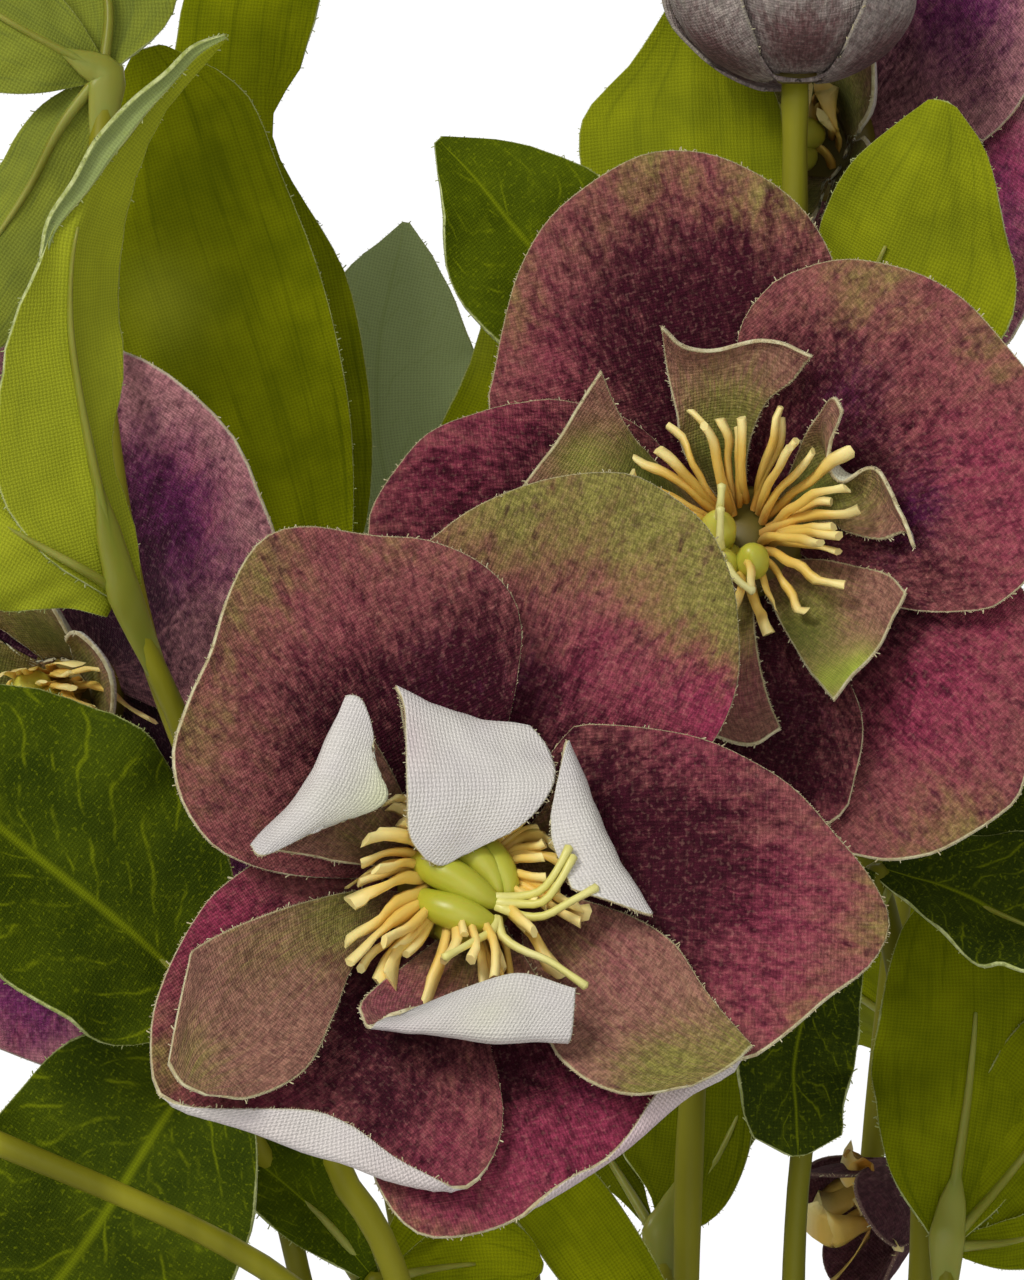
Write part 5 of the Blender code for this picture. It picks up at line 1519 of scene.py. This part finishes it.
def euler(tree, angles):
    """A rotation from three angles."""
    return add_node(tree, "FunctionNodeEulerToRotation", {0: angles})[0]


# The places of each kind's output, and of its lower and upper ends, on a Random Value node
RANDOM_KINDS = {"FLOAT_VECTOR": (0, 0, 1), "FLOAT": (1, 2, 3), "INT": (2, 4, 5)}


def chance(tree, kind, low, high, seed):
    """A random value of the kind, different at each point."""
    output, lower, upper = RANDOM_KINDS[kind]
    values = {lower: low, upper: high, "Seed": seed}
    return add_node(tree, "FunctionNodeRandomValue", values, data_type=kind)[output]


def make_fray_tree():
    """Frayed edge: short thread ends that stand out along a line."""
    inputs = {
        "Edge": (GEOMETRY, None), "Spacing": (FLOAT, 0.0002), "Length": (FLOAT, 0.0006),
        "Thickness": (FLOAT, 0.00002), "Seed": (INTEGER, 1), "Threads": (MATERIAL, None),
    }
    tree, given, result = growing_group("Frayed edge", inputs)
    line = grow(tree, "MeshToCurve", Mesh=given["Edge"])
    spaced = grow(tree, "ResampleCurve", {"mode": "LENGTH"}, Curve=line, Length=given["Spacing"])
    middle, end = [scaled(tree, way, given["Length"]) for way in ((0.18, 0.0, 0.5), (0.5, 0.1, 0.9))]
    start = (0, 0, -0.00008)
    thread = grow(tree, "CurveQuadraticBezier", Resolution=2, Start=start, Middle=middle, End=end)
    section = grow(tree, "CurvePrimitiveCircle", Resolution=3, Radius=given["Thickness"])
    strand = grow(tree, "CurveToMesh", Curve=thread, Profile_Curve=section)
    outwards = grow(tree, "InputNamedAttribute", {"data_type": "FLOAT_VECTOR"}, Name="outwards")
    jitter = chance(tree, "FLOAT_VECTOR", (-0.9, -0.9, -0.9), (0.9, 0.9, 0.9), given["Seed"])
    way = {"Vector": shifted(tree, outwards, jitter)}
    turned = add_node(tree, "FunctionNodeAlignRotationToVector", way, axis="Z")[0]
    spin = chance(tree, "FLOAT", 0.0, 6.28, plus(tree, given["Seed"], 7.0))
    values = {"Rotation": turned, "Rotate By": euler(tree, combined(tree, 0.0, 0.0, spin))}
    turned = add_node(tree, "FunctionNodeRotateRotation", values, rotation_space="LOCAL")[0]
    size = chance(tree, "FLOAT", 0.0, 1.0, plus(tree, given["Seed"], 3.0))
    size = times_plus(tree, maths(tree, "POWER", size, 6.0), 1.5, 0.55)
    placed = grow(tree, "InstanceOnPoints", Points=spaced, Instance=strand, Rotation=turned, Scale=size)
    smooth = grow(tree, "SetShadeSmooth", Geometry=grow(tree, "RealizeInstances", Geometry=placed))
    return finished(tree, smooth, given["Threads"], result)


fray_tree = make_fray_tree()


def frayed(bloom_or_leaf, lines, spacing, seed, threads):
    """The thread ends along the cut edges of a bloom's or leaf's pieces."""
    name = f"{bloom_or_leaf}_thread_ends"
    edges, first = [], 0
    for line, _ in lines:
        edges += [(k, k + 1) for k in range(first, first + len(line) - 1)]
        first += len(line)
    mesh = bpy.data.meshes.new(name + "_line")
    mesh.from_pydata(np.concatenate([line for line, _ in lines]).tolist(), edges, [])
    outwards = np.concatenate([way for _, way in lines])
    write_values(mesh, "outwards", "FLOAT_VECTOR", "vector", outwards)
    values = {"Spacing": spacing, "Length": FRAY_LENGTH, "Thickness": FRAY_THICKNESS}
    made = grown(fray_tree, {**values, "Seed": seed, "Threads": threads}, mesh)
    made.name = name
    put(name, made)


def make_bloom_petals(bloom, cup, sepals, inner, seed):
    """The printed petals of a large bloom, one piece for each CAD petal."""
    axes, lines = bloom_axes(BLOOMS[bloom]), []

    def add_petal(name, shape, spec, printed, sides):
        grid = in_place(axes, shape[0])
        finishes = [printed, linen, petal_threads]
        mesh = cloth_piece(name + "_cloth", grid, shape[1], spec["washes"], finishes, PETAL_CLOTH)
        put(name + "_cloth", mesh, [name])
        lines.extend(edge_lines(grid, sides))

    for number, (place, spec) in enumerate(sepals.items()):
        shape = sepal_shape(cup, spec, *SEPAL_GRID, seed + number)
        add_petal(f"{bloom}_sepal_{place}", shape, spec, petal_cloth, False)
    for number, (place, spec) in enumerate(inner.items()):
        shape = blade_shape(spec["stations"], *INNER_GRID, seed + 10 + number)
        add_petal(f"{bloom}_inner_petal_{place}", shape, spec, inner_cloth, True)
    frayed(bloom, lines, FRAY_SPACING, seed, petal_threads)


make_bloom_petals("front_bloom", FRONT_CUP, FRONT_SEPALS, FRONT_INNER, 1)
make_bloom_petals("upper_bloom", UPPER_CUP, UPPER_SEPALS, UPPER_INNER, 31)


def make_small_petals(bloom, faces, rim, inner_reach_mm, seed):
    """The petals of a small bloom or bud, as one piece for each whorl."""
    cup, axes, lines = SMALL_CUPS[bloom], bloom_axes(BLOOMS[bloom]), []

    def make_petal(name, petal_cup, spec, rim_places, counts, petal_seed, washes, finishes):
        spec["rim"] = rim_places
        grid, pattern = sepal_shape(petal_cup, spec, *counts, petal_seed)
        grid = in_place(axes, grid)
        lines.extend(edge_lines(grid, False))
        return cloth_piece(name, grid, pattern, washes, finishes, PETAL_CLOTH)

    sheets = []
    for number, (azimuth, layer) in enumerate(SMALL_RING):
        azimuth += cup["first"] + 7 * math.sin(seed + number)
        spec = dict(azimuth=azimuth, layer=layer, creases=[(-14, 0.8, 4), (12, -0.8, 4)])
        spec["rolls"] = [([(-50, 0), (-40, 2), (40, 2), (50, 0)], 7, -14)]
        reach = cup["reach_mm"] * SMALL_REACHES[bloom][number]
        rim_places = [(degrees, share * reach) for degrees, share in rim]
        name = f"{bloom}_sepal_{number}"
        washes = SMALL_WASHES[bloom]
        sheets.append(make_petal(name, cup, spec, rim_places, SMALL_GRID, seed + number, washes, faces))
    put(f"{bloom}_sepals_cloth", joined(f"{bloom}_sepals_cloth", sheets), [f"{bloom}_sepals"])
    if inner_reach_mm:
        sheets = []
        inner_cup = dict(base_slope=44, rim_slope=34, reach_mm=inner_reach_mm, spread=0)
        finishes = [inner_cloth, linen, petal_threads]
        for number in range(6):
            spec = dict(azimuth=number * 60 + 9 * math.sin(number + seed), layer=-1.5 - 0.6 * (number % 2))
            spec["rolls"] = [([(-44, 0), (-35, 2.5), (35, 2.5), (44, 0)], 4, 35)]
            reach = inner_reach_mm * (0.95 + 0.05 * math.cos(2 * number + seed))
            rim_places = [(degrees * 0.8, share * reach) for degrees, share in BUD_RIM]
            sheets.append(make_petal(
                f"{bloom}_inner_{number}", inner_cup, spec, rim_places, SMALL_INNER_GRID, seed + 7 + number,
                SMALL_INNER_WASHES, finishes,
            ))
        name = f"{bloom}_inner_petals"
        put(name + "_cloth", joined(name + "_cloth", sheets), [name])
    frayed(bloom, lines, SMALL_FRAY_SPACING, seed, petal_threads)


small_faces = [small_cloth, linen, petal_threads]
make_small_petals("left_bloom", small_faces, SMALL_RIM, 18.5, 51)
make_small_petals("back_bloom", small_faces, SMALL_RIM, 19.0, 61)
make_small_petals("open_bud", [pale_bud_cloth] * 3, BUD_RIM, None, 71)
make_small_petals("side_bud", [dull_bud_cloth] * 3, BUD_RIM, None, 81)


# Stamens and carpels


def make_stamen_tree():
    """Stamen ring: bent rods with flared heads that stand round the middle of a bloom."""
    inputs = {
        "Count": (INTEGER, 40), "Ring": (FLOAT, 0.003), "Base": (FLOAT, 0.005), "Reach": (FLOAT, 0.01),
        "Rise": (FLOAT, 0.008), "Droop": (VECTOR, (0, 0, 0)), "Thickness": (FLOAT, 0.0009),
        "Unevenness": (FLOAT, 0.0012), "Seed": (INTEGER, 1), "Finish": (MATERIAL, None),
    }
    tree, given, result = growing_group("Stamen ring", inputs)
    reach, rise, seed = given["Reach"], given["Rise"], given["Seed"]
    kinds = []
    for bow, top in ((0.35, 1.0), (0.50, 0.86), (0.22, 1.12)):
        middle = combined(tree, times(tree, reach, bow), 0.0, times(tree, rise, top * 0.8))
        end = combined(tree, times(tree, reach, 0.85 + bow * 0.3), 0.0, times(tree, rise, top))
        start = (0, 0, 0)
        line = grow(tree, "CurveQuadraticBezier", Resolution=12, Start=start, Middle=middle, End=end)
        along = grow(tree, "SplineParameter")
        kept = {"data_type": "FLOAT", "domain": "POINT"}
        line = grow(tree, "StoreNamedAttribute", kept, Geometry=line, Name="head", Value=along)
        belly = minus(tree, 1.15, times(tree, spread(tree, along, 0.1, 0.85), 0.4))
        flare = times(tree, spread(tree, along, 0.86, 0.93), 0.75)
        line = grow(tree, "SetCurveRadius", Curve=line, Radius=plus(tree, belly, flare))
        half = times(tree, given["Thickness"], 0.5)
        section = grow(tree, "CurvePrimitiveCircle", Resolution=6, Radius=half)
        section = grow(tree, "Transform", Geometry=section, Scale=(0.85, 1.0, 1.0))
        stamen = grow(tree, "CurveToMesh", Curve=line, Profile_Curve=section, Fill_Caps=True)
        kinds.append(grow(tree, "GeometryToInstance", Geometry=stamen))
    choice = tree.nodes.new("GeometryNodeJoinGeometry")
    for kind in reversed(kinds):
        tree.links.new(kind, choice.inputs[0])

    def uneven(low, high, step):
        return chance(tree, "FLOAT", low, high, plus(tree, seed, step))

    points = grow(tree, "MeshLine", Count=given["Count"])
    angle = times(tree, grow(tree, "InputIndex"), GOLDEN_ANGLE)
    angle = plus(tree, angle, uneven(-0.12, 0.12, 1.0))
    out = times(tree, given["Ring"], uneven(0.7, 1.15, 2.0))
    x, y = [times(tree, out, maths(tree, way, angle)) for way in ("COSINE", "SINE")]
    ring = grow(tree, "SetPosition", Geometry=points, Position=combined(tree, x, y, given["Base"]))
    turn = combined(tree, uneven(-0.25, 0.25, 3.0), uneven(-0.32, 0.30, 4.0), angle)
    pick = chance(tree, "INT", 0, 2, plus(tree, seed, 5.0))
    placed = grow(
        tree, "InstanceOnPoints", Points=ring, Instance=choice.outputs[0], Pick_Instance=True,
        Instance_Index=pick, Rotation=euler(tree, turn), Scale=uneven(0.78, 1.12, 6.0),
    )
    real = grow(tree, "RealizeInstances", Geometry=placed)
    place = grow(tree, "InputPosition")
    sideways = {0: stretched(tree, place, (1, 1, 0))}
    away = add_node(tree, "ShaderNodeVectorMath", sideways, operation="LENGTH")["Value"]
    share = maths(tree, "DIVIDE", away, reach)
    share = times(tree, share, share)
    wave = times(tree, given["Unevenness"], times(tree, share, 2.5))
    wave = scaled(tree, drift(tree, place, 170.0, 1.0), wave)
    shift = shifted(tree, scaled(tree, given["Droop"], share), wave)
    bent = grow(tree, "SetPosition", Geometry=real, Offset=shift)
    return finished(tree, grow(tree, "SetShadeSmooth", Geometry=bent), given["Finish"], result)


stamen_tree = make_stamen_tree()


def small_carpels():
    """Five short pods round the middle of a small bloom, with their styles."""
    pods, styles = [], []
    for number in range(5):
        angle = 2 * math.pi * (number + 0.2) / 5
        x, y = math.cos(angle), math.sin(angle)
        pod = [(out * x, out * y, height) for out, height in SMALL_POD]
        pods.append((pod, [0.8, 1.7, 1.6, 0.6]))
        styles.append([(out * x, out * y, height) for out, height in SMALL_STYLE])
    return pods, styles


def make_middle(bloom, pods, styles):
    """The stamens and carpels of a bloom."""
    axes = bloom_axes(BLOOMS[bloom])
    values = dict(STAMENS[bloom], Ring=0.003, Base=0.0046, Unevenness=0.0014, Finish=stamen_finish)
    values["Thickness"] = 0.00128 if bloom == "front_bloom" else 0.00118
    stamens = grown(stamen_tree, values)
    stamens.transform(axes)
    heart = in_place(axes, [(0, 0, height) for height, _ in HEART])
    width = 0.4 if "bud" in bloom else 1.0
    radii = np.array([radius for _, radius in HEART]) * width * MM
    heart = rod("heart", heart, radii, heart_plastic, 20)
    stamens = joined(f"{bloom}_stamens_moulding", [stamens, heart])
    put(f"{bloom}_stamens_moulding", stamens, [f"{bloom}_stamens"])
    if not pods:
        return
    meshes = []
    for path, radii in pods:
        path = np.array(path, float)
        places = even_places(path, 12)
        radii_mm = through(np.array(radii, float)[:, None], places)[:, 0]
        meshes.append(rod("pod", in_place(axes, through(path, places)), radii_mm * MM, carpel_plastic, 16))
    for path in styles:
        line = evenly(path, 12)
        radii_mm = np.interp(np.linspace(0, 1, 12), [0, 0.3, 0.8, 1], [0.55, 0.46, 0.38, 0.5])
        meshes.append(rod("style", in_place(axes, line), radii_mm * MM, style_plastic, 6))
    name = f"{bloom}_carpels_moulding"
    put(name, joined(name, meshes), [f"{bloom}_carpels"])


make_middle("front_bloom", FRONT_PODS, FRONT_STYLES)
make_middle("upper_bloom", UPPER_PODS, UPPER_STYLES)
make_middle("left_bloom", *small_carpels())
make_middle("back_bloom", *small_carpels())
make_middle("open_bud", None, None)
make_middle("side_bud", None, None)


# Stems, petioles and leaves


def stem_points(spec):
    """The points that a stem passes, from its foot to its collar."""
    out = np.array(bloom_axes(spec).to_3x3() @ UP)
    centre, via = np.array(spec["centre"]) * MM, np.array(spec["via"]) * MM
    x, y = np.array(spec["base"]) * MM
    shoulder = centre - out * COLLAR_HALF_LENGTH
    way = [(x, y, STEM_FREE_Z), *via, centre - out * BLOOM_NECK_LENGTH, shoulder - out * 4 * GAP]
    return (x, y, STEM_FOOT_Z), np.array(way), out, centre


def stem_piece(bloom):
    """A moulded stem with the collar that carries the petals."""
    foot, way, out, centre = stem_points(BLOOMS[bloom])
    ends = [centre + out * place for place in (-0.0045, -0.002, 0.0008)]
    line = np.concatenate([[foot], evenly(way, STEM_POINTS), ends])
    count = np.arange(STEM_POINTS)
    wobble = 1 + 0.05 * np.sin(count * 0.9 + len(bloom)) + 0.05 * np.sin(count * 0.37)
    collar = 0.0015 if "bud" in bloom else COLLAR_RADIUS
    radii = np.concatenate([[STEM_RADIUS], STEM_RADIUS * wobble, [0.0014, collar, collar * 0.96]])
    mesh = rod(f"{bloom}_stem_moulding", line, radii, stem_plastic, 16)
    put(f"{bloom}_stem_moulding", mesh, [f"{bloom}_stem"])
    return line


paths = {bloom: stem_piece(bloom) for bloom in BLOOMS}


def petiole_line(spec, hub):
    """The petiole's way from the fill, or from the side of its host, up to the hub."""
    via = np.array(spec["via"]) * MM
    if "base" in spec:
        x, y = np.array(spec["base"]) * MM
        return np.concatenate([[(x, y, STEM_FOOT_Z)], evenly([(x, y, STEM_FREE_Z), *via, hub], 44)])
    host = paths[spec["host"]]
    nearest = host[np.argmin(np.abs(host[:, 2] - spec["joint_z"] * MM))]
    return evenly([nearest, *via, hub], 24)


def lobe_shape(face, lobe, columns, rows, seed):
    """A leaf lobe's points along its line, its pattern, and its spine with the way it faces."""
    line = np.array([(*point, point[3])[:5] for point in lobe["line"]], float)
    line = through(line, even_places(line[:, :3], rows, HEM_MM))
    spine, left, right = line[:, :3], np.maximum(line[:, 3], 0.15), np.maximum(line[:, 4], 0.15)
    reach = lengths_along(spine)
    share = reach / reach[-1]
    ahead = unit(np.gradient(spine, axis=0))
    sideways = unit(np.cross(ahead, -face if lobe.get("flip") else face))
    upright = np.cross(sideways, ahead)
    across = blade_places(columns, max(left.max(), right.max()))[:, None]
    spread_mm = across * np.where(across < 0, left, right)
    flat = np.stack(np.broadcast_arrays(spread_mm, reach), axis=-1)
    wide = np.minimum(left, right) / 8
    off = np.abs(spread_mm)
    height = off * 0.2 * np.minimum(1, 0.4 + np.abs(across))
    height = height + 0.8 * wide * np.sin(share * 15 + seed) * across**2 * np.sign(across)
    height = height + 0.5 * wide * np.sin(share * 27 + 2.3 * seed) * np.abs(across) ** 3
    height = height + 0.16 * np.sin((flat[..., 1] - off * 0.7) * 1.5) * ease(0.5, 3, off)
    height = height - 0.5 * np.exp(-((off / 0.9) ** 2)) * (1 - ease(0.6, 1.0, share))
    height = height + crumple(flat, (11.0, 1.1, seed), (3.6, 0.22, seed + 5))
    height = height * ease(0.0, 0.15, share)
    grid = spine + sideways * spread_mm[..., None] + upright * height[..., None]
    return grid * MM, (flat, fan_lines(across, share), cut_edges(grid, True)), spine * MM, upright


def rib(spine, normal, share, thick):
    """The moulded rib behind a lobe, which thins out along its middle."""
    count = max(6, int(len(spine) * share))
    radii = thick * (1 - np.linspace(0, 1, count)) ** 0.8 + 0.00022
    line = spine[:count] - normal[:count] * (LEAF_CLOTH / 2 + radii * 0.55 + 0.0003)[:, None]
    return rod("rib", line, radii, rib_plastic, 8, 0.75)


def bracket(start, spine, normal):
    """The moulded bracket that holds the foot of a leaf's first lobe."""
    line = evenly(np.concatenate([[start], spine[:7] - normal[:7] * 0.0011]), 14)
    radii = np.interp(np.linspace(0, 1, 14), [0, 0.2, 0.45, 0.75, 1], BRACKET_RADII)
    return rod("bracket", line, radii, rib_plastic, 14, 0.42, normal[2])


def make_leaf(leaf, spec, seed):
    """A leaf: its petiole, its moulded ribs and its cloth lobes."""
    hub = np.array(spec["lobes"][0]["line"][0][:3]) * MM
    face = unit(np.array(spec["face"], float))
    line = petiole_line(spec, hub)
    paths[leaf] = line
    wobble = 1 + 0.04 * np.sin(np.arange(len(line)) * 0.8 + seed)
    mouldings = [rod("petiole", line, PETIOLE_RADIUS * wobble, stem_plastic, 12)]
    sheets, lines, spines = [], [], []
    finishes = [leaf_cloth, leaf_back, leaf_threads]
    for number, lobe in enumerate(spec["lobes"], 1):
        grid, pattern, spine, normal = lobe_shape(face, lobe, *LOBE_GRID, seed + number)
        washes = spec.get("washes", []) + lobe.get("washes", [])
        sheets.append(cloth_piece(f"{leaf}_lobe_{number}", grid, pattern, washes, finishes, LEAF_CLOTH))
        lines += edge_lines(grid, True)
        spines.append((spine, normal))
        if lobe.get("rib", 1):
            mouldings.append(rib(spine, normal, 0.62, 0.0006))
    mouldings.append(bracket(line[-3], *spines[0]))
    put(f"{leaf}_moulding", joined(f"{leaf}_moulding", mouldings), [leaf])
    put(f"{leaf}_cloth", joined(f"{leaf}_cloth", sheets), [leaf])
    frayed(leaf, lines, SMALL_FRAY_SPACING, seed, leaf_threads)


for number, (leaf, spec) in enumerate(LEAVES.items()):
    make_leaf(leaf, spec, 90 + 5 * number)


# Pot and filling


def make_grit_tree():
    """Grit: small uneven stones strewn over a surface."""
    inputs = {
        "Surface": (GEOMETRY, None), "Density": (FLOAT, GRIT_DENSITY), "Size": (FLOAT, GRIT_SIZE),
        "Seed": (INTEGER, 1), "Finish": (MATERIAL, None),
    }
    tree, given, result = growing_group("Grit", inputs)
    seed, surface = given["Seed"], given["Surface"]
    strewn = grow(tree, "DistributePointsOnFaces", Mesh=surface, Density=given["Density"], Seed=seed)
    stone = grow(tree, "MeshIcoSphere", Radius=given["Size"], Subdivisions=1)
    shape = chance(tree, "FLOAT_VECTOR", (0.5, 0.5, 0.35), (1.25, 1.1, 0.8), seed)
    turn = chance(tree, "FLOAT_VECTOR", (-0.6, -0.6, -3.1), (0.6, 0.6, 3.1), seed)
    turn = euler(tree, turn)
    placed = grow(tree, "InstanceOnPoints", Points=strewn, Instance=stone, Rotation=turn, Scale=shape)
    return finished(tree, grow(tree, "RealizeInstances", Geometry=placed), given["Finish"], result)


def fill_surface():
    """The top of the filling, as the stones lie on it."""
    radii, heights = np.array(FILL_PROFILE).T
    rings = np.linspace(0.0001, 0.0515, 14)
    angles = np.linspace(0, 2 * math.pi, 49)[:, None]
    level = np.interp(rings, radii, heights)
    grid = np.stack(np.broadcast_arrays(rings * np.cos(angles), rings * np.sin(angles), level), axis=-1)
    return grid_mesh("fill_surface", grid[::-1], [])


def dress_node(node, finish):
    """Gives a CAD node that stays its detailed finish."""
    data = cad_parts[node].data
    if not data.materials:
        data.materials.append(finish)
    for index in range(len(data.materials)):
        data.materials[index] = finish


dress_node("pot", pot_plastic)
dress_node("pot_fill", fill_grit)
grit_values = {"Density": GRIT_DENSITY, "Size": GRIT_SIZE, "Seed": 5, "Finish": grit_grains}
put("pot_fill_stones", grown(make_grit_tree(), grit_values, fill_surface()))


# Floor, light and camera


def make_floor():
    """A wide pale floor."""
    angles = np.linspace(0, 2 * math.pi, 64, endpoint=False)
    rim = [(FLOOR_RADIUS * math.cos(a), FLOOR_RADIUS * math.sin(a), -0.0002) for a in angles]
    mesh = bpy.data.meshes.new("floor")
    mesh.from_pydata(rim, [], [tuple(range(64))])
    made, tree, shader = new_material("Pale floor", 0.9)
    patches = clouds(tree, own_place(tree), 40.0, 3.0)
    colour = blend(tree, patches, ink(236, 236, 235), ink(240, 240, 239))
    finish_colour(tree, shader, colour, patches, 0.05, 0.0005)
    mesh.materials.append(made)
    floor = add_object("floor", mesh)


def add_light(name, place, target, size, power, shade):
    """A soft square lamp that faces a point."""
    data = bpy.data.lights.new(name, "AREA")
    data.shape = "SQUARE"
    data.size = size
    data.energy = power
    data.color = shade
    lamp = add_object(name, data)
    lamp.location = place
    lamp.rotation_euler = (Vector(target) - Vector(place)).to_track_quat("-Z", "Y").to_euler()


def make_world():
    """White surroundings that the camera sees brighter than the plant does."""
    world = bpy.data.worlds.new("Studio")
    bpy.context.scene.world = world
    world.use_nodes = True
    tree = world.node_tree
    background = tree.nodes["Background"]
    background.inputs["Color"].default_value = (1, 1, 1, 1)
    seen = add_node(tree, "ShaderNodeLightPath")["Is Camera Ray"]
    tree.links.new(times_plus(tree, seen, 0.74, 0.30), background.inputs["Strength"])


def make_camera():
    """The photograph's view: level, from the front, with a long lens."""
    data = bpy.data.cameras.new("camera")
    data.sensor_fit = "VERTICAL"
    data.sensor_height = SENSOR_MM
    data.sensor_width = SENSOR_MM
    data.lens = SENSOR_MM * VIEW_DISTANCE_MM / VIEW_HEIGHT_MM
    data.clip_end = 50
    camera = add_object("camera", data)
    camera.location = CAMERA_PLACE
    camera.rotation_euler = (math.radians(90), 0, 0)
    bpy.context.scene.camera = camera


make_floor()
make_world()
add_light("key", (-0.75, -1.05, 1.15), (-0.01, 0.0, 0.28), 0.50, 14.0, (1.0, 0.985, 0.95))
add_light("fill", (0.15, -1.25, 0.45), (0.0, 0.0, 0.28), 0.9, 3.0, (1.0, 1.0, 1.0))
add_light("back", (0.4, 1.1, 0.9), (0.0, 0.0, 0.28), 0.8, 3.0, (1.0, 1.0, 1.0))
make_camera()
bpy.context.scene.view_settings.view_transform = "Standard"
